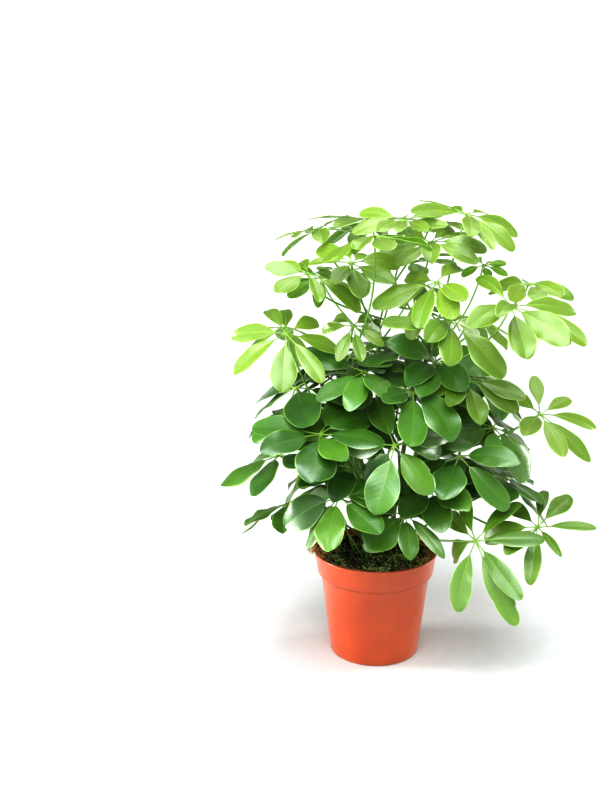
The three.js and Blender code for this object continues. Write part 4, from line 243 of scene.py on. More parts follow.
        (-76.1, -5.5, 58.7, 19.5, -15.2, 20.6, 0.007, 0.167, 7.5),
        (-34.7, -21.9, 64.9, 16.7, -24.1, 20.1, 0.065, 0.172, 12.7),
        (-3.3, -5.4, 59, 13.9, -27.5, 38.7, 0.03, 0.187, 18.7),
        (46.8, -4.3, 59.9, 14.2, -11.5, 10.4, 0.008, 0.209, 20),
        (84.5, 6, 58.8, 14.7, 13.5, 2.9, 0.056, 0.188, 9),
        (107.1, -19.3, 58.5, 14.6, 43, 16.2, -0.1, 0.181, 10.9)]),
    (3, 209.4, (-83.5, -37.9, 297), (-0.435, -0.145, 0.889), (0.55, 0.22, 0.27, 0.42), 0.95, [
        (-138.3, -38, 66.5, 40.9, -6.7, 14.5, -0.018, 0.159, 7.5),
        (-84.5, -12.9, 68.6, 38.3, 6.1, 25.7, 0.006, 0.15, 3.6),
        (-20.5, -31.4, 74.1, 31.5, 3.1, 14.6, -0.023, 0.198, 8.9),
        (-19.9, 2, 60, 29, 19.4, 29.8, -0.074, 0.163, 11.5),
        (49.7, -22.5, 61.4, 33.8, 12.2, 40.3, 0.033, 0.181, 11.7),
        (99, -22.1, 62.8, 32.9, 1.4, 38.3, -0.038, 0.159, 5.2),
        (132.4, -11.6, 70.1, 40.7, 10.1, 36.7, 0.019, 0.144, 7.6),
        (159.7, -18.9, 61.7, 30.4, 0.1, 22.2, -0.013, 0.152, 9.2)]),
    (2, 261.9, (110, 2.4, 297.5), (0.389, -0.132, 0.912), (0.48, 0.25, 0.83, 0.25), 0.92, [
        (-169.9, -48.6, 63.1, 29.7, 2.2, 17.6, -0.017, 0.175, 8.7),
        (-121.9, -24.5, 55.8, 30.3, 5.8, 35.2, 0.005, 0.15, 9.8),
        (-77.8, -18.2, 60.4, 31.8, 0.9, 39.7, 0.069, 0.16, 7.8),
        (-20.5, -23.8, 59.4, 25.9, 14.6, 19.1, 0.012, 0.186, 7.2),
        (1.8, -29, 64.1, 30.8, -13.1, 17.6, 0.084, 0.144, 6.5),
        (68.3, -26.7, 58.9, 29, 0.4, 15.5, 0.061, 0.163, 8.1),
        (112.2, -13.2, 62.7, 33.2, 5.1, 34.4, 0.032, 0.166, 12.2),
        (140.8, -32.8, 65.5, 30.3, -6, 2.9, -0.12, 0.155, 11.8)]),
    (0, 141.1, (-35.8, 41.6, 299.6), (-0.256, 0.126, 0.958), (0.4, 0.27, 0.77, 0.49), 0.99, [
        (-179.4, -20.5, 68.8, 35.1, -4.8, 20.4, 0.027, 0.186, 5.9),
        (-167.5, -5.4, 70.3, 36, -21.5, 39.5, -0.095, 0.198, 10.9),
        (-80.9, -30.9, 67.2, 34.7, 2, 18.7, -0.026, 0.198, 12.9),
        (-33.6, -24.4, 71.2, 35.1, 5.7, 35.3, 0.004, 0.179, 9.8),
        (21.5, -15.5, 66.2, 28.8, 10.5, 48.7, -0.026, 0.173, 7.2),
        (74.9, -15.1, 69.6, 33.7, 6.7, 28.5, 0.001, 0.167, 10.3),
        (120.7, -12.3, 63.3, 33.8, -17.8, 37.9, 0.031, 0.142, 3)]),
    (3, 254.5, (49.4, 51, 300.5), (0.245, 0.39, 0.888), (0.15, 0.55, 1.09, 0.51), 0.99, [
        (-145.4, -4.2, 58.2, 28.9, 13.8, 21.9, 0.019, 0.154, 11.3),
        (-112.6, -4.3, 54.8, 26.3, -20.6, 14.5, 0.014, 0.178, 3.1),
        (-87.8, -11.8, 52, 26.4, -10.1, 6.8, -0.068, 0.141, 10.7),
        (-16.4, -2, 56, 28.9, 4.8, 13.1, -0.037, 0.162, 10.4),
        (39.2, -14.4, 62.7, 29.1, -3.9, 33, -0.016, 0.178, 8.9),
        (90.3, 7.2, 61.2, 30.9, 5.7, 20.9, 0.027, 0.156, 7.5),
        (126.2, 10.4, 58.9, 29.4, 9.5, 16.9, 0.076, 0.163, 3.5)]),
    (1, 220.1, (27.3, -80.4, 303.3), (0.3, -0.354, 0.886), (0.39, 0.12, 0.96, 0.76), 1, [
        (-129.4, 12.5, 59.3, 20.8, 12, 19.2, 0, 0.199, 9.8),
        (-86.4, -20.4, 60.9, 32, 0, 16.5, -0.062, 0.148, 7.7),
        (-41.1, -13.5, 62.5, 33, -18.6, 53, -0.099, 0.162, 8.2),
        (36.1, -9.9, 57.5, 27.3, -6.9, 34.7, 0.061, 0.17, 9.2),
        (87.3, 2.7, 62.5, 19.2, 12.9, 26.8, -0.019, 0.17, 7),
        (105.2, -25.6, 60.4, 26.8, 28.3, 25.9, 0.076, 0.146, 6.6),
        (171.1, -18.4, 61.3, 22.6, -1.1, 42.9, -0.033, 0.166, 4.2)]),
    (3, 248.2, (0.6, 85.2, 307.5), (0.046, 0.424, 0.904), (0.35, 0.55, 0.1, 0.26), 0.89, [
        (-144.7, -16.3, 62.7, 31.2, 5.2, 32.5, -0.062, 0.189, 6.6),
        (-113.8, -3.8, 60.7, 29.2, 23.3, 32, -0.062, 0.191, 11.4),
        (-57, -11.4, 61.1, 36.6, 13.8, 38.7, 0.031, 0.164, 5.4),
        (-7.2, -9.6, 68.5, 39, -8.6, 26.9, -0.099, 0.19, 7.5),
        (32.4, -24.8, 71.7, 38.5, -3.4, 19.6, 0.01, 0.189, 7.3),
        (71.4, -7, 68.9, 40.8, -15.5, 16.4, 0.056, 0.158, 5.8),
        (122.5, -23.3, 61.4, 30.8, 10.8, 26.6, 0.088, 0.18, 12.2),
        (168.9, -24.7, 56, 30.4, 18.1, 38.7, 0.008, 0.159, 10)]),
    (1, 251.9, (80.1, -64, 310.9), (0.044, -0.376, 0.926), (0.28, 0.45, 0.23, 0.84), 0.25, [
        (-157.3, -8.4, 44.8, 16.6, 17, 24.8, 0.052, 0.2, 9.6),
        (-115.3, 1.4, 48.8, 19.8, -3.3, 29.8, 0.016, 0.188, 12.2),
        (-78, -19.9, 51, 22.2, 7.4, 32.3, -0.004, 0.193, 17.3),
        (-26.1, -18.3, 57.4, 22.5, -23.1, 34, -0.014, 0.182, 14.8),
        (-19.8, -2.7, 57.8, 17.6, -34.7, 23.6, -0.07, 0.199, 16.8),
        (39.9, -22, 46.2, 18.8, -1.5, 31.4, 0.054, 0.187, 12.6),
        (102.4, -24.5, 50.3, 15.8, 33.6, 37.1, -0.015, 0.206, 15),
        (159.5, -5.9, 44.5, 17.4, -9, 20.5, 0.105, 0.168, 17.1)]),
    (1, 276.5, (-17.6, -58.5, 318), (0.17, -0.139, 0.976), (0.42, 0.38, 0.79, 0.26), 0.95, [
        (-138.9, -21.9, 60.5, 19.2, 20.6, 9.4, 0.011, 0.191, 8.6),
        (-103.2, -20.2, 59.7, 23.1, 0, 31.3, -0.011, 0.173, 5.3),
        (-74.9, -1.1, 58.8, 23.3, -7.5, 34.7, 0.014, 0.151, 8.2),
        (-18.8, -32, 55.1, 17.2, 4.6, 26, -0.064, 0.194, 11.4),
        (20.2, -2, 57.3, 18.2, -12.8, 48.5, -0.006, 0.186, 11.9),
        (64, -9.6, 62, 17.6, -41.3, 15.3, 0.011, 0.147, 7.4),
        (173.7, 5.2, 65.7, 23.5, 36, 14.4, 0.078, 0.187, 10.7)]),
    (1, 265, (-27.1, -15.4, 321.8), (-0.281, -0.061, 0.958), (0.51, 0.55, 0.67, 0.59), 0.8, [
        (-159.9, 0.8, 54.8, 29.7, -13.2, 63, 0, 0.192, 8.5),
        (-95.1, -30.3, 65.2, 30.5, 34.8, 2.9, 0.027, 0.188, 3.6),
        (-61.8, -1.8, 61.9, 28.7, 9.9, 2.9, 0.057, 0.157, 3.3),
        (-45.6, 0.8, 59.1, 33.1, 3.8, 9.1, -0.033, 0.187, 4.5),
        (16, 1.8, 55.6, 30.7, -6.5, 34.9, -0.047, 0.16, 11.2),
        (55.7, -26.2, 62.7, 32.4, -26.8, 25.1, 0.006, 0.186, 9.7),
        (100, -15.7, 53.3, 29, 6, 37.6, -0.036, 0.188, 12.5),
        (155.7, -4.9, 53.3, 32.3, -2.3, 21.2, 0.017, 0.183, 11.5)]),
    (2, 200.5, (54.1, -40.4, 321.8), (0.128, -0.323, 0.938), (0.15, 0.33, 1.3, 0.36), 0.95, [
        (-173.9, 19.8, 55.8, 24.3, 41.3, 48.6, -0.082, 0.16, 8.6),
        (-128, 1.8, 59.9, 25.6, 5.2, 43.6, 0.082, 0.165, 8.1),
        (-107.2, -2.6, 63.2, 26.3, -3.8, 30.8, -0.026, 0.186, 12.5),
        (-73.1, 7.7, 62.3, 27.7, -13.8, 42.1, -0.013, 0.141, 4.5),
        (-13.9, 3.4, 52.7, 25.3, -16.8, 49.7, -0.076, 0.182, 11.8),
        (42.5, 0.3, 57.9, 26.8, -3.9, 31.3, -0.06, 0.15, 8.8),
        (91.1, -2.7, 58.5, 27.2, 22.3, 11.7, -0.046, 0.186, 11.1),
        (172.6, 17.1, 55.4, 24.7, 11.9, 19.5, 0.037, 0.157, 7.7)]),
    (2, 238.3, (-94.3, 24.9, 345.7), (-0.058, 0.031, 0.998), (0.21, 0.35, 0.89, 0.77), 0.08, [
        (-149.5, -33.7, 52.3, 16.3, -9, 43.1, 0.008, 0.197, 14.7),
        (-74.2, -35.5, 59.1, 19.9, -8.2, 34.6, 0.067, 0.191, 8),
        (-22.1, -32.4, 53.3, 17.8, 5.5, 35.5, 0.03, 0.202, 9.9),
        (33.6, -32.6, 62.8, 18.8, -7.8, 27, -0.025, 0.21, 11),
        (95.2, -21.4, 62.7, 20.7, -5.1, 32.6, -0.024, 0.188, 12.8),
        (146.1, -31.9, 59, 18.3, -6.2, 29.1, -0.019, 0.209, 12.6),
        (179.3, -11, 56.4, 18.8, 3, 33.4, -0.018, 0.187, 15.5)]),
    (3, 278.8, (98.6, 45.1, 353), (0.187, 0.125, 0.974), (0.28, 0.47, 0.1, 0.65), 0.03, [
        (-175.3, -17.8, 55.6, 20.2, -6.7, 16, 0.079, 0.172, 14.7),
        (-131.8, -17.6, 50.8, 17.7, -10.4, 37.3, -0.054, 0.208, 14.7),
        (-88, -7.2, 59.2, 22.5, -1.3, 23.6, 0.045, 0.192, 17.1),
        (-46, -26.8, 57.2, 21, -3.2, 34.5, 0.015, 0.15, 13.6),
        (-5, -18.6, 56.4, 21.1, 4.8, 26.5, -0.063, 0.178, 8.8),
        (59.5, -29, 53.3, 19.5, -16.9, 26.6, 0, 0.178, 17.9),
        (88, -6, 54.6, 19.7, 6.5, 6.3, -0.026, 0.204, 17.5),
        (130.9, -24.2, 47.3, 15.3, 7.3, 15.1, 0.011, 0.177, 15.8)]),
    (0, 201.1, (-92.9, -81.8, 359.2), (0.095, -0.446, 0.89), (0.25, 0.36, 0.58, 0.34), 0.03, [
        (-147.4, -25.4, 61.7, 18, 1, 34.5, 0.054, 0.191, 12.4),
        (-92.5, -25.4, 59.6, 25.4, 0, 25.1, 0.035, 0.187, 11.8),
        (-50.2, -15.8, 60, 18.4, -12, 18, -0.053, 0.164, 8.1),
        (18.8, -27.7, 60.7, 17.4, -29.2, 14.7, -0.026, 0.207, 19.2),
        (52.7, -18.1, 57.6, 16.4, -29.2, 40.3, 0.02, 0.207, 7.7),
        (92.1, -15.5, 62.4, 15.3, 10.6, 20, -0.046, 0.158, 14.7),
        (109.4, -15.2, 61, 15.7, 12, 29.7, -0.031, 0.168, 19.2),
        (160.2, -22.3, 57.4, 18.9, 36.7, 29.7, 0.016, 0.164, 7.9)]),
    (4, 288.7, (-29, -50.2, 361), (0.004, -0.392, 0.92), (0.27, 0.47, 0.28, 0.83), 0.1, [
        (-112.3, -27.7, 39.8, 13.7, 1.7, 34.2, -0.034, 0.164, 8.4),
        (-78.5, -20, 40.5, 12.7, 0, 16.9, 0.002, 0.204, 16.5),
        (-27.5, -22, 34.1, 11, -29.2, 27.3, 0.007, 0.186, 7.6),
        (29.4, -32.6, 39.9, 12.6, -41.3, 25.4, 0.017, 0.184, 12),
        (59.1, -19.7, 39.3, 11.9, -36.1, 28.8, -0.008, 0.188, 11.7),
        (115.4, -20.5, 38.2, 11.5, 41.3, 46.3, 0.065, 0.17, 11.2),
        (157, -29, 37.7, 12, 41.3, 37.3, -0.094, 0.159, 10.8)]),
    (2, 299.7, (60.6, -79.5, 371.4), (0.463, -0.134, 0.876), (0.23, 0.23, 0.98, 0.7), 0.2, [
        (-161.9, -23.4, 66.8, 22, 3.3, 2.9, 0.005, 0.178, 7.7),
        (-118, -12.9, 59.7, 21.1, 0, 33.7, 0.08, 0.173, 19),
        (-86.8, -22.1, 61.6, 25, -1.4, 32.7, 0.003, 0.204, 9.4),
        (-33, -13.1, 72.2, 26.7, -43, 17.6, 0.049, 0.195, 12.8),
        (40.7, -11, 60.4, 21.6, -41.3, 23.4, 0, 0.181, 7.3),
        (102, -12.3, 54.1, 23.8, -8.9, 35.8, -0.082, 0.197, 17.2),
        (134.2, -20.5, 59.3, 22.4, 3.2, 14.8, -0.021, 0.203, 8.5)]),
    (2, 320.5, (54.5, 98.3, 378.9), (0.184, 0.171, 0.968), (0.45, 0.39, 1.1, 0.9), 0.07, [
        (-139.6, -29.3, 58.9, 21.7, -5.4, 63, 0.032, 0.175, 9.1),
        (-98.9, -22.7, 54.3, 19.5, 9, 18.1, 0.019, 0.158, 11.3),
        (-55.5, -21.9, 62.4, 23.4, -8.1, 33.2, 0.013, 0.196, 16.4),
        (-14.7, -43.9, 63.5, 20.7, 2.6, 25.6, 0.12, 0.201, 16.3),
        (31.8, -24.7, 61.7, 22.8, -13, 23.8, -0.032, 0.156, 16.2),
        (80.3, -33.7, 52.9, 19.2, -6.7, 24.4, -0.095, 0.186, 20),
        (124, -27.1, 61.3, 23.5, -4.1, 32.6, -0.049, 0.194, 14.2),
        (163.3, -35, 58.5, 19.2, 8.9, 10.4, 0.086, 0.17, 18.5)]),
    (1, 290.7, (114, -94.2, 387.3), (0.237, -0.246, 0.94), (0.21, 0.49, 1.3, 0.86), 0.1, [
        (-132.2, -6.9, 66.9, 23.5, 6.9, 46.1, 0.018, 0.203, 15.2),
        (-106.6, 11.1, 66.9, 17.6, 1.7, 56.5, -0.117, 0.161, 16.7),
        (-82.8, -16, 67.8, 26.3, -7.2, 25.7, 0.022, 0.199, 15.3),
        (-45.8, -3.2, 67.3, 27.8, -43, 21.4, 0.03, 0.162, 11.6),
        (-29.9, -3.6, 77.5, 19.7, -36, 39.6, -0.001, 0.201, 11.8),
        (16.9, 1.9, 68.2, 21, -29.1, 31.9, -0.06, 0.202, 15.6),
        (111, -3.3, 68.3, 15.9, 43, 36.7, -0.037, 0.174, 16.6)]),
    (1, 289.4, (-57.1, 74.6, 389.9), (-0.111, 0.525, 0.844), (0.3, 0.25, 0.81, 0.83), 0.17, [
        (-171, -13.5, 52.9, 16.5, 0.3, 18.3, -0.034, 0.177, 19.8),
        (-136.1, -1.1, 47.1, 15.8, -0.7, 34.7, 0, 0.191, 18.3),
        (-85.4, -14.2, 55.4, 16.8, 6, 33.5, -0.025, 0.164, 7.3),
        (-38.3, -19.9, 57.1, 18.9, -14.7, 40.7, 0.037, 0.155, 8.5),
        (2.3, -14.2, 55.1, 18.6, -15.7, 35.7, -0.036, 0.194, 11.4),
        (42.1, -13, 47.2, 16.6, -7.8, 33.3, -0.026, 0.152, 10),
        (93.3, -18.8, 47.3, 14.6, -5.5, 32.4, 0.047, 0.162, 11.3),
        (130.3, -4.4, 50.8, 18, -18.9, 33.3, 0.061, 0.201, 9.5)]),
    (2, 316.4, (150.7, 14.9, 391.7), (0.032, -0.047, 0.998), (0.29, 0.26, 1.14, 0.9), 0.05, [
        (-122, -13.2, 44, 19.6, 43, 27.9, -0.005, 0.165, 14.3),
        (-82.3, -10.4, 44, 19.6, -13.8, 20.1, -0.003, 0.207, 9.4),
        (-52, -4.5, 45.9, 16, -37.8, 35.3, -0.02, 0.201, 10.8),
        (-15.5, -14.6, 46.6, 16.7, -41.3, 29.8, -0.012, 0.177, 17.2),
        (43.4, -11.5, 44, 14.7, 41.3, 23.2, 0.03, 0.162, 8),
        (75.9, -11.7, 41.3, 17, -14.1, 21.5, 0.027, 0.157, 17.2),
        (116.7, -10.2, 44, 15.7, 41.3, 18.6, 0.112, 0.164, 13.3),
        (178.9, -17.4, 39.4, 15.6, 8, 14.2, 0.001, 0.174, 9.5)]),
    (2, 322.9, (50.4, -60.8, 405.2), (-0.471, -0.221, 0.854), (0.38, 0.29, 1.3, 0.72), 0.12, [
        (-176.1, 7, 64.7, 24, 34.4, 23.9, 0.018, 0.193, 10.5),
        (-149.5, -32, 59.8, 20.4, 32.7, 40.4, -0.063, 0.188, 9.5),
        (-116.1, -9.3, 61.6, 21.3, 13.8, 40.1, -0.052, 0.165, 11.5),
        (-86.5, -12.2, 61.6, 21.6, 0, 25.4, 0.012, 0.167, 11.9),
        (-69.6, -2.1, 61, 19.6, -1.7, 16.1, -0.037, 0.202, 10.9),
        (70, -20.7, 61.6, 17.6, -41.3, 27.6, -0.046, 0.186, 17.4),
        (119.9, -3.4, 61.2, 16.3, 27.5, 8.5, 0.008, 0.192, 8.6),
        (144.8, -19.8, 62.5, 17.1, 41.3, 33.6, -0.024, 0.202, 16.3)]),
    (1, 308.7, (35, 45.2, 409.2), (0.014, 0.241, 0.97), (0.18, 0.26, 1.01, 0.32), 0.03, [
        (-152, -19.7, 58.8, 19.9, 6.3, 23, 0.086, 0.202, 7.8),
        (-91.3, -6, 49, 19.7, -2.5, 16.9, -0.056, 0.185, 9.2),
        (-54.4, -4.6, 49, 18.9, -1.5, 36.3, -0.103, 0.199, 13.4),
        (-7, 9, 46.9, 17, 3.3, 39.2, 0.036, 0.159, 16.5),
        (28.6, 1.7, 55.7, 19.5, 6.9, 31.6, -0.006, 0.161, 17.4),
        (74.4, -8.6, 55.9, 22.1, 0.5, 29.5, -0.041, 0.19, 13.2),
        (134.9, -12.2, 52.8, 16.4, -2.7, 29.5, -0.004, 0.185, 19.7),
        (165.2, -5.4, 60.5, 18.4, 1.9, 18.2, -0.042, 0.201, 7)]),
    (1, 335, (-72.2, -45.5, 411.1), (0.213, -0.185, 0.959), (0.29, 0.35, 1.3, 0.63), 0.06, [
        (-177.6, -3.4, 40.3, 16.3, 41.3, 12, -0.071, 0.171, 7.4),
        (-123.6, -12.5, 49.5, 19.6, 3.3, 26.2, -0.025, 0.204, 9.7),
        (-73.8, -11.2, 47.4, 14.9, -3.4, 30.9, -0.011, 0.207, 18.2),
        (-17.5, -20.7, 61.2, 17.6, -34.4, 33.5, -0.013, 0.176, 17.7),
        (15.7, -13.1, 47.9, 15.4, 2.4, 18.7, 0.026, 0.177, 14.7),
        (47.2, -17.5, 52.3, 15.2, -41.3, 37.2, 0.001, 0.204, 12.7),
        (96.7, -8.6, 48.5, 14.8, 37.8, 33.8, 0.042, 0.152, 9.1),
        (126.8, -19.4, 49.7, 18.8, 43, 36.2, 0.088, 0.178, 17.4)]),
    (1, 322, (102.3, -0.7, 413.1), (0.138, 0.437, 0.889), (0.15, 0.54, 1, 0.77), 0, [
        (-115.3, -8.7, 27.5, 7.6, -39.5, 31.6, 0.058, 0.182, 13.1),
        (-67.7, -7.1, 22, 8.8, -12.9, 27.4, 0.036, 0.194, 10),
        (-18.3, 6, 21.4, 7.8, 41.3, 14.2, -0.023, 0.161, 19.2),
        (20.8, -9.8, 26.6, 8.2, 36.1, 25.8, -0.045, 0.186, 7.2),
        (68.1, -10.1, 26.2, 8.8, 8.6, 23.3, -0.018, 0.185, 17),
        (132.5, -16.2, 26.8, 9.5, -25.8, 26.3, -0.041, 0.178, 17)]),
    (3, 331.7, (-30, -30.8, 419), (0.038, -0.309, 0.95), (0.27, 0.2, 0.67, 0.76), 0.08, [
        (-170.3, 0.1, 40.9, 18, -5.5, 34.5, -0.047, 0.184, 9.5),
        (-109.9, 1.5, 50, 17.6, 6.9, 26.7, -0.012, 0.169, 19.1),
        (-80.5, -14.6, 49.5, 23, 0, 16.1, 0.028, 0.19, 19.7),
        (-45.5, -2.9, 50, 17.6, -27.5, 12.1, 0.12, 0.165, 8.5),
        (18.1, -8.2, 49.7, 19.3, -39.5, 39.8, -0.091, 0.171, 7.1),
        (61.7, -11.2, 39.7, 17.1, -2.8, 29.6, -0.014, 0.187, 14.7),
        (95.4, -10.6, 50, 15.7, 18.9, 38.1, -0.03, 0.188, 18.9),
        (130.5, -4.4, 50, 19.6, 34.4, 23.3, 0, 0.198, 8.1)]),
    (3, 326.4, (49.1, -1.9, 435.8), (-0.109, -0.162, 0.981), (0.15, 0.3, 0.56, 0.87), 0.03, [
        (-177.6, -16.4, 61.3, 17.6, 41.3, 34.9, 0.004, 0.159, 10.5),
        (-132.5, -6.7, 55.2, 16.7, 24.1, 2.9, 0.041, 0.173, 11.4),
        (-94.6, -4.1, 54.9, 19.4, 0, 39.9, 0, 0.153, 15.9),
        (-38.8, -17, 54.3, 20, -29.2, 23.1, -0.032, 0.171, 18.4),
        (-13.8, -11.9, 55.2, 17.6, -39.5, 38.4, -0.002, 0.2, 10.1),
        (28.7, -4.2, 51.9, 15.5, -7.1, 21, -0.005, 0.21, 11.3),
        (60.8, -3.3, 55.2, 13.7, -41.3, 26, -0.031, 0.171, 16.8),
        (111.9, -10.2, 55.2, 13.7, 41.3, 29.7, -0.002, 0.195, 18.7)]),
    (3, 345, (-61.4, 41.4, 444.2), (-0.136, 0.122, 0.983), (0.47, 0.29, 0.81, 0.6), 0, [
        (-172.5, -6.3, 44.5, 15.5, 0.3, 23.6, 0.05, 0.197, 12.4),
        (-117.4, -5.5, 54.5, 20.3, -13.8, 24.7, 0.041, 0.188, 12.5),
        (-87.4, -17.7, 48.8, 19.2, -2.6, 30.2, 0, 0.151, 15.6),
        (-33.3, -14.7, 52.4, 18.4, 5.5, 20, -0.028, 0.165, 12.9),
        (5.3, -10, 53.1, 19.5, -4.7, 26.7, 0.027, 0.18, 11.7),
        (53, 9.6, 54.7, 20.2, 9.5, 17.1, 0.008, 0.185, 15.9),
        (97.7, -1.6, 55, 21, 6.3, 17.8, -0.083, 0.17, 16.4),
        (148.7, -25.6, 49.9, 16.9, -2.4, 23.1, 0.018, 0.176, 13.2)]),
    (3, 342.1, (56, 64.3, 448.8), (-0.054, 0.193, 0.98), (0.44, 0.23, 1.14, 0.56), 0.1, [
        (-143, -16.4, 48.6, 16.7, -4.2, 24.5, 0.032, 0.188, 7.9),
        (-103.1, -15.8, 51, 16.2, 0.3, 19.4, 0.022, 0.202, 17.7),
        (-66, -12.7, 54.4, 17.8, 5, 27.9, 0.018, 0.151, 12.3),
        (-7.2, -19.4, 51.2, 18.5, -1.5, 20.5, 0.006, 0.176, 11.8),
        (36.1, -10.6, 53.9, 17.9, -10.9, 39.9, 0.005, 0.166, 19.3),
        (79.8, -6.7, 49.7, 19.3, -1, 36, 0.03, 0.164, 19.6),
        (112.3, -23.3, 57.7, 20.1, 1.7, 52.7, 0.021, 0.192, 13.3),
        (164.2, 4.3, 56.7, 17.3, 3, 32.6, 0.12, 0.161, 13.4)]),
    (0, 317, (-10.7, -74.1, 450.4), (-0.095, 0.045, 0.994), (0.4, 0.52, 0.57, 0.77), 0.08, [
        (-177.7, -22.3, 55.4, 21.3, 8, 23.3, -0.009, 0.167, 9.8),
        (-143.4, -20.2, 48.2, 16.6, 0.2, 38.4, 0.041, 0.168, 14.7),
        (-116, -11, 44.5, 19.6, 1.9, 30.1, 0.023, 0.166, 16.3),
        (-83.2, -10.9, 55, 21, -4.7, 16, 0.053, 0.207, 10.6),
        (-25, -14.1, 51.2, 21.1, 8.3, 2.9, 0.008, 0.163, 11.9),
        (17.6, -20.4, 58.6, 23, 11, 18.9, 0.034, 0.2, 13),
        (62.4, -13.8, 55.7, 19.8, 3.9, 18.7, -0.06, 0.169, 18.7),
        (115, -22.8, 47.8, 16.3, -1.4, 42.8, -0.002, 0.2, 7.2)]),
    (2, 312, (-8.9, 52.1, 453.9), (-0.02, 0.183, 0.983), (0.24, 0.41, 0.75, 0.46), 0.06, [
        (-172, -0.2, 62.5, 21.1, 5.1, 14.6, 0.083, 0.153, 14.8),
        (-120.1, -10.2, 65.8, 20.7, 11.3, 18, -0.042, 0.172, 9.5),
        (-76.4, -25.1, 55.8, 17.9, 8.5, 32.5, -0.026, 0.161, 14.3),
        (-45.5, -24, 59.1, 19.2, 5, 26.5, 0.021, 0.204, 9.6),
        (23.5, -18.7, 64.3, 20.9, 1.5, 27.4, -0.007, 0.209, 13.4),
        (70, 0.3, 57.6, 17.8, -1.3, 23.4, 0.029, 0.17, 13.4),
        (103.7, -21.4, 60.3, 20.3, -2.3, 2.9, 0.034, 0.153, 17.2),
        (149.4, -27.1, 60.9, 21.3, -10.7, 18.7, -0.054, 0.151, 14.3)]),
    (3, 336.9, (22.4, 3.6, 456.5), (-0.09, -0.143, 0.986), (0.29, 0.22, 0.5, 0.63), 0, [
        (-177.2, -8.7, 50.8, 16.4, 41.3, 29.6, -0.016, 0.152, 10.7),
        (-126.6, 3.3, 48.1, 15.7, 30.9, 21.8, 0.04, 0.209, 14),
        (-97, 2.3, 48.3, 13.7, 6.9, 27, -0.063, 0.151, 9.6),
        (-65.4, 0.2, 48.1, 13.9, -23.3, 15.6, -0.032, 0.205, 8.2),
        (-33.9, -3.5, 44.8, 12, -41.3, 3.1, 0.105, 0.161, 14.8),
        (29.3, -1.3, 50.4, 16.3, -41.3, 23.7, 0.003, 0.193, 17.6),
        (89.8, -10.6, 41.6, 14.7, 8, 18.4, -0.038, 0.157, 16.9),
        (150.6, 5.7, 48.3, 13.7, 41.3, 38.5, -0.009, 0.208, 16)]),
    (1, 332.2, (84, 0.5, 463), (0.28, -0.173, 0.944), (0.16, 0.45, 0.57, 0.9), 0, [
        (-166.3, -8.8, 58.1, 17, 39.5, 17, 0.037, 0.171, 14.1),
        (-90.1, -5, 58.1, 19.6, -3.4, 31.9, -0.027, 0.16, 7.9),
        (-66.7, -13.9, 57.4, 13.2, -24.1, 25.4, 0.05, 0.175, 15.4),
        (-25, -16, 58.1, 17.6, -40.5, 28.1, 0.014, 0.174, 7.6),
        (4.4, -8.5, 58.1, 16.7, -41.3, 34.5, 0.033, 0.159, 12.5),
        (53.6, -5.7, 53.8, 17.8, 4.6, 32.7, -0.053, 0.206, 10.9),
        (99.5, -12.9, 58.1, 13.7, 41.3, 14.6, -0.015, 0.197, 10),
        (146.5, -7.1, 51, 15.9, -12.4, 23.2, 0.016, 0.177, 12.6)]),
]
SOIL_LEVEL = 105.0
GAP = 0.35


def unit(v):
    v = np.asarray(v, float)
    return v / np.linalg.norm(v)


def smooth(x, a, b):
    t = np.clip((np.asarray(x, float) - a) / (b - a), 0, 1)
    return t * t * (3 - 2 * t)


def stem_at(i, z):
    x0, y0, x1, y1, zt = STEMS[i][:5]
    t = min(max((z - SOIL_LEVEL) / (zt - SOIL_LEVEL), -0.2), 1.0)
    k = t * (0.55 + 0.45 * t)
    wx = 2.2 * math.sin(5.0 * t + i * 1.7) * t
    wy = 2.2 * math.sin(4.3 * t + i * 2.9 + 1.0) * t
    return np.array([x0 + (x1 - x0) * k + wx, y0 + (y1 - y0) * k + wy, z])


def stem_radius(i, z):
    zt, r0, r1 = STEMS[i][4:]
    t = min(max((z - SOIL_LEVEL) / (zt - SOIL_LEVEL), 0), 1)
    return r0 + (r1 - r0) * t


def stem_way(i, z):
    return unit(stem_at(i, z + 2) - stem_at(i, z - 2))


def axes(n):
    e1 = unit(np.array([1.0, 0, 0]) - n[0] * n)
    return e1, np.cross(n, e1), n


def midrib(hub, fr, leaflet, s):
    """Points, tangents, upward and sideways directions of a leaflet's midrib."""
    az, el, length, _, roll, droop, bend, stalk, _ = leaflet
    e1, e2, n = fr
    a = math.radians(az)
    er = math.cos(a) * e1 + math.sin(a) * e2
    et = np.cross(n, er)
    s = np.asarray(s, float)[:, None]
    b = max(math.radians(droop), 1e-4)
    a0 = math.radians(el) + b / 2
    x = (np.sin(a0) - np.sin(a0 - b * s)) / b
    y = (np.cos(a0 - b * s) - np.cos(a0)) / b
    p = hub + 1.6 * er + length * (x * er + y * n) + bend * length * s**2 * et
    th = a0 - b * s
    t = np.cos(th) * er + np.sin(th) * n + 2 * bend * s * et
    t /= np.linalg.norm(t, axis=1, keepdims=True)
    up = -np.sin(th) * er + np.cos(th) * n
    up -= (up * t).sum(1, keepdims=True) * t
    up /= np.linalg.norm(up, axis=1, keepdims=True)
    side = np.cross(up, t)
    turn = math.radians(roll) * np.clip(s / stalk, 0, 1)
    c, sn = np.cos(turn), np.sin(turn)
    return p, t, c * up + sn * side, c * side - sn * up


def blade_shape(u, wide=1.22, foot=0.8, tip=0.48):
    u = np.clip(np.asarray(u, float), 0, 1)
    return np.clip(np.sin(np.pi * u**wide), 0, 1) ** (foot + (tip - foot) * u)


# ---- mesh building -------------------------------------------------------------------
FIELDS = ("age", "under", "across", "edge", "vein", "part", "rnd", "along")


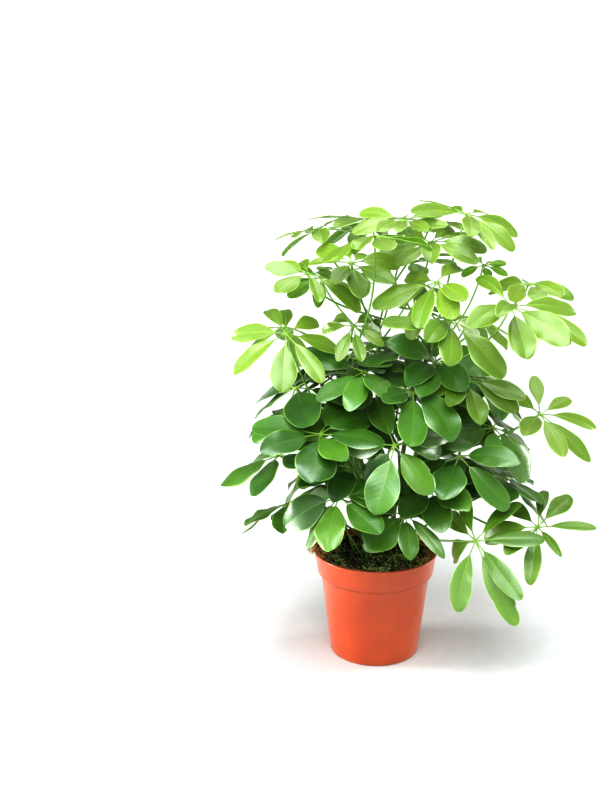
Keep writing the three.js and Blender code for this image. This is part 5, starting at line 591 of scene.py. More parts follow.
class Build:
    """Gathers vertices, faces, per-vertex fields and UVs of one object."""

    def __init__(self, fields=FIELDS):
        self.v, self.f, self.uv, self.n = [], [], [], 0
        self.names = fields
        self.fields = {k: [] for k in fields}

    def points(self, p, uv=None, **fields):
        p = np.asarray(p, float).reshape(-1, 3)
        start = self.n
        self.v.append(p)
        self.n += len(p)
        self.uv.append(np.zeros((len(p), 2)) if uv is None else np.asarray(uv, float).reshape(-1, 2))
        for k in self.names:
            self.fields[k].append(np.broadcast_to(np.asarray(fields.get(k, 0.0), float).ravel(), (len(p),)))
        return np.arange(start, self.n)

    def quads(self, a, b, c, d):
        self.f += np.stack([np.ravel(a), np.ravel(b), np.ravel(c), np.ravel(d)], 1).tolist()

    def face(self, ids):
        self.f.append([int(i) for i in ids])

    def sheet(self, ids, flip=False, wrap=False):
        """Quads over a grid of vertex numbers; wrap joins the last column to the first."""
        g = np.concatenate([ids, ids[:, :1]], 1) if wrap else ids
        a, b, c, d = g[:-1, :-1], g[:-1, 1:], g[1:, 1:], g[1:, :-1]
        if flip:
            a, b, c, d = a, d, c, b
        self.quads(a, b, c, d)

    def mesh(self, name, materials, angle=None):
        me = bpy.data.meshes.new(name)
        v = np.concatenate(self.v) * MM
        me.from_pydata(v.tolist(), [], self.f)
        me.polygons.foreach_set("use_smooth", [True] * len(me.polygons))
        uv = np.concatenate(self.uv)
        if np.abs(uv).max() > 0:
            layer = me.uv_layers.new(name="OFBake")
            loops = np.empty(len(me.loops), np.int32)
            me.loops.foreach_get("vertex_index", loops)
            layer.uv.foreach_set("vector", uv[loops].astype(np.float32).ravel())
        for k in self.names:
            a = me.attributes.new(k, "FLOAT", "POINT")
            a.data.foreach_set("value", np.concatenate(self.fields[k]).astype(np.float32))
        for m in materials:
            me.materials.append(m)
        me.validate()
        if angle:
            me.set_sharp_from_angle(angle=math.radians(angle))
        o = bpy.data.objects.new(name, me)
        scene.collection.objects.link(o)
        return o


def frames_along(p):
    """Tangents and a pair of side vectors carried along a line of points."""
    t = np.gradient(p, axis=0)
    t /= np.linalg.norm(t, axis=1, keepdims=True)
    a = np.array([0, 0, 1.0]) if abs(t[0][2]) < 0.9 else np.array([1.0, 0, 0])
    side, sides = a, []
    for k in range(len(p)):
        side = unit(side - (side @ t[k]) * t[k])
        sides.append(side)
    sides = np.array(sides)
    return t, sides, np.cross(t, sides)


def tube(b, p, radii, sides, uv_box=None, round_end=(True, True), wobble=None, **fields):
    """A closed tube along points p, in mm. uv_box: x0, y0, x1, y1 of its strip."""
    p = np.asarray(p, float)
    radii = np.asarray(radii, float)
    along = np.linspace(0, 1, len(p))
    for end, on in ((0, round_end[0]), (-1, round_end[1])):
        if on:
            t = unit(p[end] - p[1 if end == 0 else -2])
            r = radii[end]
            extra = [p[end] + t * r * 0.55, p[end] + t * r * 0.86]
            small = [r * 0.8, r * 0.38]
            if end == 0:
                p = np.concatenate([extra[::-1], p])
                radii = np.concatenate([small[::-1], radii])
                along = np.concatenate([[along[0]] * 2, along])
            else:
                p = np.concatenate([p, extra])
                radii = np.concatenate([radii, small])
                along = np.concatenate([along, [along[-1]] * 2])
    t, s1, s2 = frames_along(p)
    q = np.arange(sides) * 2 * np.pi / sides
    rr = radii[:, None] * (np.ones((1, sides)) if wobble is None else wobble(along[:, None], q[None]))
    ring = p[:, None] + rr[..., None] * (np.cos(q)[None, :, None] * s1[:, None] + np.sin(q)[None, :, None] * s2[:, None])
    if uv_box is None:
        uv = None
    else:
        x0, y0, x1, y1 = uv_box
        gu = np.broadcast_to(x0 + (x1 - x0) * np.abs(q / np.pi - 1)[None], ring.shape[:2])
        gv = np.broadcast_to((y0 + (y1 - y0) * np.linspace(0, 1, len(p)))[:, None], ring.shape[:2])
        uv = np.stack([gu, gv], -1)
    if "along" not in fields:
        fields["along"] = np.repeat(along, sides)
    ids = b.points(ring, uv, **fields).reshape(ring.shape[:2])
    b.sheet(ids, wrap=True)
    b.face(ids[0][::-1])
    b.face(ids[-1])
    return ids


def finish_piece(o, node=None):
    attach(o, "root")
    if node:
        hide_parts(*([node] if isinstance(node, str) else node))
    return o


# ---- materials -----------------------------------------------------------------------
class Nodes:
    """A short way to write a node tree."""

    def __init__(self, name):
        self.mat = bpy.data.materials.new(name)
        self.mat.use_nodes = True
        self.t = self.mat.node_tree
        self.p = next(n for n in self.t.nodes if n.type == "BSDF_PRINCIPLED")
        self.out = next(n for n in self.t.nodes if n.type == "OUTPUT_MATERIAL")
        self.coords = None

    def add(self, kind, **props):
        n = self.t.nodes.new(kind)
        for k, v in props.items():
            setattr(n, k, v)
        return n

    def put(self, socket, value):
        if isinstance(value, bpy.types.NodeSocket):
            self.t.links.new(value, socket)
        elif isinstance(value, (tuple, list)) and len(value) == 3 and socket.type == "RGBA":
            socket.default_value = (*value, 1)
        else:
            socket.default_value = value

    def attr(self, name):
        return self.add("ShaderNodeAttribute", attribute_name=name, attribute_type="GEOMETRY").outputs["Fac"]

    def math(self, op, a, b=None, c=None, clamp=False):
        n = self.add("ShaderNodeMath", operation=op, use_clamp=clamp)
        self.put(n.inputs[0], a)
        if b is not None:
            self.put(n.inputs[1], b)
        if c is not None:
            self.put(n.inputs[2], c)
        return n.outputs[0]

    def span(self, x, a, b, lo=0.0, hi=1.0, kind="SMOOTHSTEP"):
        n = self.add("ShaderNodeMapRange", interpolation_type=kind)
        self.put(n.inputs["Value"], x)
        for k, v in (("From Min", a), ("From Max", b), ("To Min", lo), ("To Max", hi)):
            n.inputs[k].default_value = v
        return n.outputs["Result"]

    def mix(self, f, a, b, kind="MIX"):
        n = self.add("ShaderNodeMix", data_type="RGBA", blend_type=kind)
        self.put(n.inputs[0], f)
        self.put(n.inputs[6], a)
        self.put(n.inputs[7], b)
        return n.outputs[2]

    def object_coords(self):
        if self.coords is None:
            self.coords = self.add("ShaderNodeTexCoord").outputs["Object"]
        return self.coords

    def noise(self, scale, detail=3.0, rough=0.55, stretch=None, lacunarity=2.0):
        n = self.add("ShaderNodeTexNoise", noise_dimensions="3D")
        v = self.object_coords()
        if stretch:
            m = self.add("ShaderNodeVectorMath", operation="MULTIPLY")
            self.put(m.inputs[0], v)
            m.inputs[1].default_value = stretch
            v = m.outputs[0]
        self.put(n.inputs["Vector"], v)
        n.inputs["Scale"].default_value = scale
        n.inputs["Detail"].default_value = detail
        n.inputs["Roughness"].default_value = rough
        n.inputs["Lacunarity"].default_value = lacunarity
        return n.outputs["Fac"]

    def voronoi(self, scale, feature="F1", out="Distance", randomness=1.0):
        n = self.add("ShaderNodeTexVoronoi", feature=feature, voronoi_dimensions="3D")
        self.put(n.inputs["Vector"], self.object_coords())
        n.inputs["Scale"].default_value = scale
        n.inputs["Randomness"].default_value = randomness
        return n.outputs[out]

    def bump(self, height, distance, strength=1.0, normal=None):
        n = self.add("ShaderNodeBump")
        self.put(n.inputs["Height"], height)
        n.inputs["Distance"].default_value = distance
        n.inputs["Strength"].default_value = strength
        if normal is not None:
            self.put(n.inputs["Normal"], normal)
        return n.outputs[0]

    def shader(self, **sockets):
        for k, v in sockets.items():
            self.put(self.p.inputs[k.replace("_", " ")], v)


def leaf_material():
    m = Nodes("umbrella_leaf")
    age, under, across, edge = m.attr("age"), m.attr("under"), m.attr("across"), m.attr("edge")
    vein, part, rnd = m.attr("vein"), m.attr("part"), m.attr("rnd")

    young = m.mix(m.span(rnd, 0, 1, kind="LINEAR"), (0.178, 0.288, 0.012), (0.262, 0.365, 0.030))
    old = m.mix(m.span(rnd, 0, 1, kind="LINEAR"), (0.022, 0.100, 0.006), (0.130, 0.340, 0.020))
    green = m.mix(m.span(age, 0.05, 0.9, kind="LINEAR"), young, old)
    # uneven green: large soft patches, and a finer grain of cells
    patches = m.noise(55, 3, 0.6)
    green = m.mix(m.span(patches, 0.35, 0.7, 0, 0.4), green, m.mix(0.7, green, (0.16, 0.36, 0.01)))
    bloom = m.math("MULTIPLY", m.span(m.noise(38, 4, 0.65), 0.42, 0.66, 0, 0.42), age)
    green = m.mix(bloom, green, (0.085, 0.235, 0.062))
    cells = m.noise(900, 2, 0.5)
    green = m.mix(m.span(cells, 0.3, 0.75, 0, 0.26), green, (0.02, 0.09, 0.01))

    # veins run from the midrib to the margin; the midrib is a pale line
    line = m.math("PINGPONG", vein, 0.5)
    net = m.math("SUBTRACT", 1.0, m.span(line, 0.0, 0.11))
    net = m.math("MULTIPLY", net, m.span(edge, 0.97, 0.6))
    green = m.mix(m.math("MULTIPLY", net, 0.11), green, m.mix(age, (0.42, 0.62, 0.10), (0.16, 0.33, 0.05)))
    width = m.math("ABSOLUTE", across)
    rib = m.math("MULTIPLY", m.span(width, 0.62, 0.16), m.span(m.attr("along"), 1.0, 0.1, 0.25, 1.0))
    pale = m.mix(age, (0.42, 0.62, 0.06), (0.17, 0.34, 0.035))
    green = m.mix(m.math("MULTIPLY", rib, 0.62), green, pale)
    # a pale line along the margin: partly the leaflet's own pale edge, partly a painted highlight where the edge
    # catches the light
    rim = m.span(edge, 0.925, 0.965)
    green = m.mix(m.math("MULTIPLY", rim, 0.8), green, m.mix(age, (0.50, 0.72, 0.13), (0.32, 0.54, 0.13)))

    # the underside is paler and dull
    below = m.mix(age, (0.27, 0.50, 0.035), (0.085, 0.235, 0.025))
    below = m.mix(m.math("MULTIPLY", rib, 0.7), below, (0.34, 0.52, 0.10))
    below = m.mix(m.math("MULTIPLY", net, 0.25), below, (0.10, 0.24, 0.05))
    green = m.mix(under, green, below)

    # stalks: pale where the leaflets join, greener below
    stalk = m.mix(m.span(m.attr("along"), 0.0, 0.25), (0.30, 0.50, 0.05), m.mix(age, (0.14, 0.34, 0.010), (0.15, 0.31, 0.012)))
    stalk = m.mix(m.span(m.noise(160, 3, 0.6, (1, 1, 0.25)), 0.45, 0.7, 0, 0.5), stalk, (0.06, 0.19, 0.008))
    colour = m.mix(part, green, stalk)

    # height: veins sunk on the upper side, a fine leathery grain, a soft quilting
    quilt = m.math("MULTIPLY", m.span(line, 0.0, 0.5), 0.6)
    h = m.math("ADD", m.math("MULTIPLY", net, -0.3), quilt)
    h = m.math("ADD", h, m.math("MULTIPLY", m.noise(420, 3, 0.6), 0.5))
    n = m.bump(h, 0.0002, 0.5)

    rough = m.mix(age, (0.58, 0.58, 0.58), (0.42, 0.42, 0.42))
    rough = m.mix(under, rough, (0.62, 0.62, 0.62))
    rough = m.mix(m.span(m.noise(130, 4, 0.6), 0.42, 0.72, 0, 0.5), rough, (0.62, 0.62, 0.62))
    m.shader(Base_Color=colour, Roughness=rough, Normal=n, Coat_Weight=1.0, Coat_Roughness=0.29)
    m.p.inputs["Specular IOR Level"].default_value = 0.9

    through = m.add("ShaderNodeBsdfTranslucent")
    m.put(through.inputs["Color"], m.mix(0.5, colour, m.mix(age, (0.56, 0.80, 0.004), (0.06, 0.24, 0.001))))
    both = m.add("ShaderNodeMixShader")
    both.inputs[0].default_value = 0.27
    m.t.links.new(m.p.outputs[0], both.inputs[1])
    m.t.links.new(through.outputs[0], both.inputs[2])
    m.t.links.new(both.outputs[0], m.out.inputs["Surface"])
    return m.mat


def stem_material():
    m = Nodes("umbrella_stem")
    up = m.attr("along")
    base = m.mix(m.span(up, 0.0, 0.75), (0.060, 0.085, 0.016), (0.11, 0.24, 0.014))
    streaks = m.noise(240, 4, 0.6, (1, 1, 0.18))
    base = m.mix(m.span(streaks, 0.35, 0.72, 0, 0.6), base, (0.15, 0.17, 0.05))
    base = m.mix(m.math("MULTIPLY", m.attr("scar"), 0.7), base, (0.10, 0.075, 0.04))
    dots = m.math("SUBTRACT", 1.0, m.span(m.voronoi(420), 0.10, 0.22))
    base = m.mix(m.math("MULTIPLY", dots, 0.65), base, (0.38, 0.34, 0.22))
    h = m.math("ADD", streaks, m.math("MULTIPLY", dots, 0.8))
    m.shader(Base_Color=base, Roughness=m.span(streaks, 0.3, 0.7, 0.48, 0.68), Normal=m.bump(h, 0.0003, 0.6))
    return m.mat


def pot_material():
    m = Nodes("nursery_pot_plastic")
    clouds = m.noise(18, 3, 0.5)
    c = m.mix(m.span(clouds, 0.3, 0.7), (0.405, 0.062, 0.009), (0.485, 0.084, 0.014))
    flow = m.noise(46, 4, 0.6, (1, 1, 0.12))
    c = m.mix(m.span(flow, 0.45, 0.75, 0, 0.35), c, (0.53, 0.110, 0.026))
    speck = m.noise(1500, 2, 0.5)
    c = m.mix(m.span(speck, 0.35, 0.8, 0, 0.25), c, (0.34, 0.045, 0.009))
    # a few earth-brown specks all over the pot, and a denser band of them round the collar's step: painted shade under
    # the collar
    z = m.add("ShaderNodeSeparateXYZ")
    m.put(z.inputs[0], m.object_coords())
    low = m.span(z.outputs["Z"], 0.085, 0.0905, 0, 1)
    low = m.math("MULTIPLY", low, m.span(z.outputs["Z"], 0.095, 0.0905, 0, 1))
    earth_specks_and_step_shade = m.math("MULTIPLY", m.span(m.noise(260, 5, 0.7), 0.52, 0.72), m.math("ADD", m.math("MULTIPLY", low, 0.55), 0.12))
    c = m.mix(earth_specks_and_step_shade, c, (0.10, 0.055, 0.03))
    h = m.math("ADD", m.math("MULTIPLY", flow, 0.6), m.math("MULTIPLY", speck, 0.14))
    rough = m.span(m.noise(90, 4, 0.65), 0.3, 0.75, 0.32, 0.46)
    m.shader(Base_Color=c, Roughness=rough, Normal=m.bump(h, 0.0004, 0.35), Coat_Weight=0.8, Coat_Roughness=0.3)
    m.p.inputs["Specular IOR Level"].default_value = 0.35
    return m.mat


def soil_material():
    m = Nodes("potting_soil")
    a = m.noise(190, 6, 0.7)
    c = m.mix(m.span(a, 0.32, 0.7), (0.0015, 0.0012, 0.0008), (0.010, 0.007, 0.004))
    crumbs = m.voronoi(420)
    c = m.mix(m.span(crumbs, 0.05, 0.5, 0.55, 0), c, (0.045, 0.028, 0.014))
    moss = m.math("MULTIPLY", m.span(m.noise(34, 4, 0.6), 0.45, 0.62), m.span(m.noise(620, 3, 0.7), 0.45, 0.6))
    c = m.mix(m.math("MULTIPLY", moss, 0.8), c, (0.025, 0.06, 0.006))
    h = m.math("ADD", a, m.math("MULTIPLY", crumbs, -0.5))
    m.shader(Base_Color=c, Roughness=m.span(a, 0.3, 0.7, 0.7, 0.98), Normal=m.bump(h, 0.0014, 0.9))
    return m.mat


def crumb_material():
    m = Nodes("soil_crumbs")
    k = m.attr("rnd")
    c = m.mix(m.span(k, 0.35, 1.0), (0.003, 0.002, 0.001), (0.05, 0.028, 0.013))
    g = m.noise(700, 4, 0.7)
    c = m.mix(m.span(g, 0.35, 0.75, 0, 0.6), c, (0.022, 0.016, 0.010))
    m.shader(Base_Color=c, Roughness=m.span(g, 0.3, 0.7, 0.65, 0.95), Normal=m.bump(g, 0.0004, 0.7))
    return m.mat


def moss_material():
    m = Nodes("moss_flecks")
    k = m.attr("rnd")
    c = m.mix(m.span(k, 0.0, 0.75), (0.05, 0.13, 0.012), (0.55, 0.74, 0.22))
    c = m.mix(m.span(k, 0.80, 1.0), c, (0.80, 0.84, 0.46))
    c = m.mix(m.span(m.noise(110, 3, 0.6), 0.52, 0.66, 0, 0.8), c, (0.30, 0.19, 0.065))
    g = m.noise(1200, 3, 0.6)
    c = m.mix(m.span(g, 0.4, 0.75, 0, 0.4), c, (0.03, 0.06, 0.01))
    m.shader(Base_Color=c, Roughness=m.span(g, 0.3, 0.7, 0.6, 0.8), Normal=m.bump(g, 0.0002, 0.6))
    return m.mat


def coir_material():
    m = Nodes("coir_fibre")
    k = m.attr("rnd")
    c = m.mix(m.span(k, 0.0, 1.0, kind="LINEAR"), (0.30, 0.125, 0.035), (0.78, 0.50, 0.22))
    g = m.noise(900, 3, 0.6)
    c = m.mix(m.span(g, 0.4, 0.75, 0, 0.5), c, (0.10, 0.05, 0.02))
    m.shader(Base_Color=c, Roughness=m.span(g, 0.3, 0.7, 0.55, 0.8), Normal=m.bump(g, 0.0002, 0.5))
    return m.mat


LEAF, STEM, POT = leaf_material(), stem_material(), pot_material()
SOIL, CRUMB, MOSS, COIR = soil_material(), crumb_material(), moss_material(), coir_material()


# ---- pot -----------------------------------------------------------------------------
POT_TOP_R, POT_H, WALL, BASE_R = 65.0, 113.0, 1.2, 46.5
COLLAR_Z, COLLAR_R, BODY_Z, BODY_R, LIP = 89.5, 60.8, 86.3, 57.0, 2.4
FLOOR = 1.8


def body_r(z):
    return BASE_R + (BODY_R - BASE_R) * z / BODY_Z


def collar_r(z):
    return COLLAR_R + (POT_TOP_R - 0.5 - COLLAR_R) * (z - COLLAR_Z) / (POT_H - COLLAR_Z)


def rounded(profile, radius=0.5, steps=3):
    """The profile with each inner corner cut to a small arc."""
    out = [profile[0]]
    for a, b, c in zip(profile[:-2], profile[1:-1], profile[2:]):
        a, b, c = map(np.array, (a, b, c))
        la, lc = np.linalg.norm(a - b), np.linalg.norm(c - b)
        r = min(radius, la * 0.42, lc * 0.42)
        p, q = b + (a - b) / la * r, b + (c - b) / lc * r
        for k in range(steps + 1):
            t = k / steps
            out.append(tuple((1 - t) ** 2 * p + 2 * t * (1 - t) * b + t * t * q))
    out.append(profile[-1])
    return out


def make_pot():
    h = POT_H
    outer = [
        (0, 0), (BASE_R - 1.6, 0), (BASE_R - 0.2, 1.2), (body_r(6), 6), (body_r(40), 40), (BODY_R - 0.05, BODY_Z - 0.6),
        (COLLAR_R, COLLAR_Z), (collar_r(100), 100), (collar_r(h - LIP) - 0.05, h - LIP), (POT_TOP_R, h - LIP + 0.5),
        (POT_TOP_R, h - 0.6), (POT_TOP_R - 0.6, h), (collar_r(h) - WALL + 0.3, h), (collar_r(h) - WALL, h - 0.7),
        (COLLAR_R - WALL, COLLAR_Z + 0.2), (BODY_R - WALL, BODY_Z - 0.2), (body_r(FLOOR) - WALL, FLOOR + 1.4),
        (body_r(0) - WALL - 1.6, FLOOR), (0, FLOOR),
    ]
    prof = np.array(rounded(outer, 0.55))
    sides = 144
    b = Build(())
    q = np.arange(sides) * 2 * np.pi / sides
    r, z = prof[1:-1, 0], prof[1:-1, 1]
    ring = np.stack([r[:, None] * np.cos(q), r[:, None] * np.sin(q), np.broadcast_to(z[:, None], (len(r), sides))], -1)
    ids = b.points(ring).reshape(len(r), sides)
    b.sheet(ids, wrap=True, flip=False)
    lo, hi = b.points([[0, 0, 0]])[0], b.points([[0, 0, FLOOR]])[0]
    for k in range(sides):
        b.face((lo, ids[0][(k + 1) % sides], ids[0][k]))
        b.face((hi, ids[-1][k], ids[-1][(k + 1) % sides]))
    pot = b.mesh("pot_shell", [POT], 40)
    cutters = []
    for k in range(6):
        a = 2 * math.pi * (k + 0.5) / 6
        bpy.ops.mesh.primitive_cylinder_add(vertices=28, radius=4 * MM, depth=8 * MM, location=(32 * MM * math.cos(a), 32 * MM * math.sin(a), 1 * MM))
        c = bpy.context.object
        cutters.append(c)
        mod = pot.modifiers.new("hole", "BOOLEAN")
        mod.operation, mod.object, mod.solver = "DIFFERENCE", c, "EXACT"
    dg = bpy.context.evaluated_depsgraph_get()
    me = bpy.data.meshes.new_from_object(pot.evaluated_get(dg))
    pot.modifiers.clear()
    pot.data = me
    for c in cutters:
        bpy.data.objects.remove(c)
    me.polygons.foreach_set("use_smooth", [True] * len(me.polygons))
    me.set_sharp_from_angle(angle=math.radians(40))
    return finish_piece(pot, "pot")


make_pot()


# ---- soil ----------------------------------------------------------------------------
rng = np.random.default_rng(41)
WAVES = [(rng.uniform(0.06, 0.75), rng.uniform(0, 2 * np.pi), rng.uniform(0, 2 * np.pi)) for _ in range(34)]
INNER_TOP = collar_r(106) - WALL - 0.35


def soil_height(x, y):
    """The soil's surface, in mm: a low mound with hollows and lumps."""
    r = np.hypot(x, y)
    z = 106.0 + 1.1 * (1 - (r / INNER_TOP) ** 2)
    for k, (f, a, ph) in enumerate(WAVES):
        z = z + 0.42 / (1 + 2.6 * f) * np.sin(f * (x * np.cos(a) + y * np.sin(a)) + ph)
    return z - 1.1 * smooth(r, INNER_TOP - 5, INNER_TOP)


def make_soil():
    b = Build(())
    sides = 150
    q = np.arange(sides) * 2 * np.pi / sides
    side_profile = [(body_r(0) - WALL - 1.95, FLOOR + 0.35), (body_r(4) - WALL - 0.45, 4.2), (BODY_R - WALL - 0.5, BODY_Z),
                    (COLLAR_R - WALL - 0.6, COLLAR_Z + 0.4), (INNER_TOP, 104.3)]
    rings = [np.stack([r * np.cos(q), r * np.sin(q), np.full(sides, z)], -1) for r, z in side_profile]
    for r in np.linspace(INNER_TOP - 0.3, 1.0, 62):
        rings.append(np.stack([r * np.cos(q), r * np.sin(q), soil_height(r * np.cos(q), r * np.sin(q))], -1))
    ring = np.array(rings)
    ids = b.points(ring).reshape(len(rings), sides)
    b.sheet(ids, wrap=True)
    lo, hi = b.points([[0, 0, FLOOR + 0.35]])[0], b.points([[0, 0, float(soil_height(0, 0))]])[0]
    for k in range(sides):
        b.face((lo, ids[0][(k + 1) % sides], ids[0][k]))
        b.face((hi, ids[-1][k], ids[-1][(k + 1) % sides]))
    return finish_piece(b.mesh("soil_body", [SOIL], 60), "soil")


make_soil()

ICO_V = None


def icosphere(level):
    """Vertices and faces of a unit icosphere."""
    g = (1 + 5**0.5) / 2
    v = [unit(p) for p in [(-1, g, 0), (1, g, 0), (-1, -g, 0), (1, -g, 0), (0, -1, g), (0, 1, g), (0, -1, -g), (0, 1, -g), (g, 0, -1), (g, 0, 1), (-g, 0, -1), (-g, 0, 1)]]
    f = [(0, 11, 5), (0, 5, 1), (0, 1, 7), (0, 7, 10), (0, 10, 11), (1, 5, 9), (5, 11, 4), (11, 10, 2), (10, 7, 6), (7, 1, 8),
         (3, 9, 4), (3, 4, 2), (3, 2, 6), (3, 6, 8), (3, 8, 9), (4, 9, 5), (2, 4, 11), (6, 2, 10), (8, 6, 7), (9, 8, 1)]
    for _ in range(level):
        mids, out = {}, []
        for a, b, c in f:
            m = []
            for i, j in ((a, b), (b, c), (c, a)):
                key = (min(i, j), max(i, j))
                if key not in mids:
                    mids[key] = len(v)
                    v.append(unit(v[i] + v[j]))
                m.append(mids[key])
            out += [(a, m[0], m[2]), (b, m[1], m[0]), (c, m[2], m[1]), tuple(m)]
        f = out
    return np.array(v), np.array(f)


def turned(rng):
    q = unit(rng.normal(size=4))
    w, x, y, z = q
    return np.array([[1 - 2 * (y * y + z * z), 2 * (x * y - z * w), 2 * (x * z + y * w)],
                     [2 * (x * y + z * w), 1 - 2 * (x * x + z * z), 2 * (y * z - x * w)],
                     [2 * (x * z - y * w), 2 * (y * z + x * w), 1 - 2 * (x * x + y * y)]])


def clear_of_stems(x, y, room):
    return all(math.hypot(x - stem_at(i, 106)[0], y - stem_at(i, 106)[1]) > stem_radius(i, 106) + room for i in range(len(STEMS)))


def make_crumbs():
    rng = np.random.default_rng(7)
    b = Build(("rnd",))
    shapes = [icosphere(1), icosphere(0)]
    for k in range(1750):
        big = k < 330
        v, f = shapes[0 if big else 1]
        r = INNER_TOP * math.sqrt(rng.uniform(0, 0.985))
        a = rng.uniform(0, 2 * np.pi)
        x, y = r * math.cos(a), r * math.sin(a)
        if not clear_of_stems(x, y, 1.5):
            continue
        size = (rng.uniform(1.0, 2.5) if big else rng.uniform(0.45, 1.1)) * np.array([1, rng.uniform(0.6, 1), rng.uniform(0.4, 0.75)])
        lumps = 1 + 0.24 * np.sin(3 * v[:, 0] + rng.uniform(0, 6)) * np.cos(2.3 * v[:, 1] + rng.uniform(0, 6)) + 0.07 * rng.normal(size=len(v))
        p = (v * lumps[:, None] * size) @ turned(rng).T
        reach = np.hypot(p[:, 0] + x, p[:, 1] + y).max() - INNER_TOP
        if reach > 0:
            x, y = x * (1 - (reach + 0.1) / r), y * (1 - (reach + 0.1) / r)
        p = p + [x, y, float(soil_height(x, y)) + rng.uniform(-0.2, 0.45) * size[2]]
        ids = b.points(p, rnd=rng.uniform(0, 1))
        b.f += ids[f].tolist()
    return finish_piece(b.mesh("soil_crumbs", [CRUMB], 50), None)


make_crumbs()


def make_moss():
    """Flecks of moss and leaf bits: small pointed shards lying over one another."""
    rng = np.random.default_rng(19)
    b = Build(("rnd",))
    patches = [(rng.uniform(-48, 48), rng.uniform(-52, 30), rng.uniform(7, 17)) for _ in range(17)]
    made = 0
    while made < 1900:
        if rng.uniform() < 0.72:
            cx, cy, s = patches[rng.integers(len(patches))]
            x, y = rng.normal(cx, s * 0.55), rng.normal(cy, s * 0.55)
        else:
            r, a = INNER_TOP * math.sqrt(rng.uniform(0, 0.96)), rng.uniform(0, 2 * np.pi)
            x, y = r * math.cos(a), r * math.sin(a)
        if math.hypot(x, y) > INNER_TOP - 2.5 or not clear_of_stems(x, y, 0.6):
            continue
        made += 1
        length, width, thick = rng.uniform(1.6, 4.4), rng.uniform(0.6, 1.5), rng.uniform(0.15, 0.3)
        lean, a = rng.uniform(-0.15, 0.85), rng.uniform(0, 2 * np.pi)
        way = np.array([math.cos(a) * math.cos(lean), math.sin(a) * math.cos(lean), math.sin(lean)])
        side = unit(np.cross(way, [0, 0, 1]) + 0.5 * rng.normal(size=3))
        side = unit(side - (side @ way) * way)
        up = np.cross(side, way)
        c = np.array([x, y, float(soil_height(x, y)) + rng.uniform(0.1, 0.9)])
        mid = c + way * length * 0.45 + up * length * rng.uniform(0.0, 0.16)
        p = [c, mid + side * width / 2, mid + up * thick, mid - side * width / 2, mid - up * thick, c + way * length - up * length * 0.06]
        ids = b.points(p, rnd=min(1.0, rng.beta(1.6, 1.5)))
        b.f += ids[np.array([(0, 2, 1), (0, 3, 2), (0, 4, 3), (0, 1, 4), (5, 1, 2), (5, 2, 3), (5, 3, 4), (5, 4, 1)])].tolist()
    return finish_piece(b.mesh("moss_flecks", [MOSS], 35), None)


make_moss()


def make_coir():
    """Coconut fibres: along the wall, strewn over the soil, and a tuft over the rim."""
    rng = np.random.default_rng(23)
    b = Build(("rnd", "along"))

    def fibre(start, way, length, radius, curl, bend_down, lowest, most_r):
        n = max(6, int(length / 1.6))
        p, d = [np.array(start, float)], unit(way)
        turn = unit(rng.normal(size=3))
        for _ in range(n):
            d = unit(d + curl * np.cross(turn, d) + 0.10 * rng.normal(size=3) + [0, 0, -bend_down])
            q = p[-1] + d * length / n
            q[2] = max(q[2], lowest(q[0], q[1]))
            r = math.hypot(q[0], q[1])
            if r > most_r:
                q[:2] *= most_r / r
            p.append(q)
        tube(b, p, radius * np.linspace(1, 0.55, len(p)), 4, rnd=rng.uniform(0, 1))

    on_soil = lambda x, y: float(soil_height(x, y)) + 0.25
    for _ in range(480):  # round the wall
        a = rng.uniform(0, 2 * np.pi)
        # more of them at the left, and some at the right
        if rng.uniform() > 0.40 + 0.60 * max(math.cos(a - math.radians(195)), 0) + 0.55 * max(math.cos(a - math.radians(-5)), 0):
            continue
        r = INNER_TOP - rng.uniform(0.5, 5.5)
        x, y = r * math.cos(a), r * math.sin(a)
        w = a + math.pi / 2 * rng.choice([-1, 1]) + rng.normal(0, 0.5)
        fibre((x, y, on_soil(x, y) + rng.uniform(0, 1.8)), (math.cos(w), math.sin(w), rng.uniform(-0.1, 0.5)), rng.uniform(6, 17),
              rng.uniform(0.18, 0.38), rng.normal(0, 0.2), 0.07, on_soil, INNER_TOP - 0.4)
    for _ in range(230):  # strewn
        r, a = INNER_TOP * math.sqrt(rng.uniform(0, 0.9)), rng.uniform(0, 2 * np.pi)
        x, y = r * math.cos(a), r * math.sin(a)
        w = rng.uniform(0, 2 * np.pi)
        if clear_of_stems(x, y, 2):
            fibre((x, y, on_soil(x, y)), (math.cos(w), math.sin(w), rng.uniform(0, 0.35)), rng.uniform(4, 12), rng.uniform(0.1, 0.22),
                  rng.normal(0, 0.2), 0.1, on_soil, INNER_TOP - 0.6)

    def over_rim(x, y):
        r = math.hypot(x, y)
        return on_soil(x, y) if r < INNER_TOP - 0.6 else (POT_H + 0.15 if r < POT_TOP_R + 0.7 else POT_H - 2.5)

    for _ in range(230):  # the tuft that stands over the rim at the left
        a = math.radians(rng.normal(180, 10))
        r = INNER_TOP - rng.uniform(0.8, 6)
        x, y = r * math.cos(a), r * math.sin(a)
        w = a + rng.normal(0, 1.0)
        fibre((x, y, on_soil(x, y) + rng.uniform(0, 5)), (0.6 * math.cos(w), 0.6 * math.sin(w), rng.uniform(0.3, 1.0)),
              rng.uniform(8, 22), rng.uniform(0.26, 0.55), rng.normal(0, 0.32), 0.045, over_rim, POT_TOP_R + 7)
    for _ in range(170):  # a thinner fringe lies on the rim at the right
        a = math.radians(rng.normal(-3, 10))
        r = INNER_TOP - rng.uniform(0.3, 4)
        x, y = r * math.cos(a), r * math.sin(a)
        w = a + math.pi / 2 * rng.choice([-1, 1]) + rng.normal(0, 0.6)
        fibre((x, y, on_soil(x, y) + rng.uniform(1, 6)), (math.cos(w), math.sin(w), rng.uniform(-0.1, 0.6)),
              rng.uniform(6, 15), rng.uniform(0.22, 0.42), rng.normal(0, 0.24), 0.06, over_rim, POT_TOP_R + 0.4)
    return finish_piece(b.mesh("coir_fibres", [COIR]), None)


make_coir()


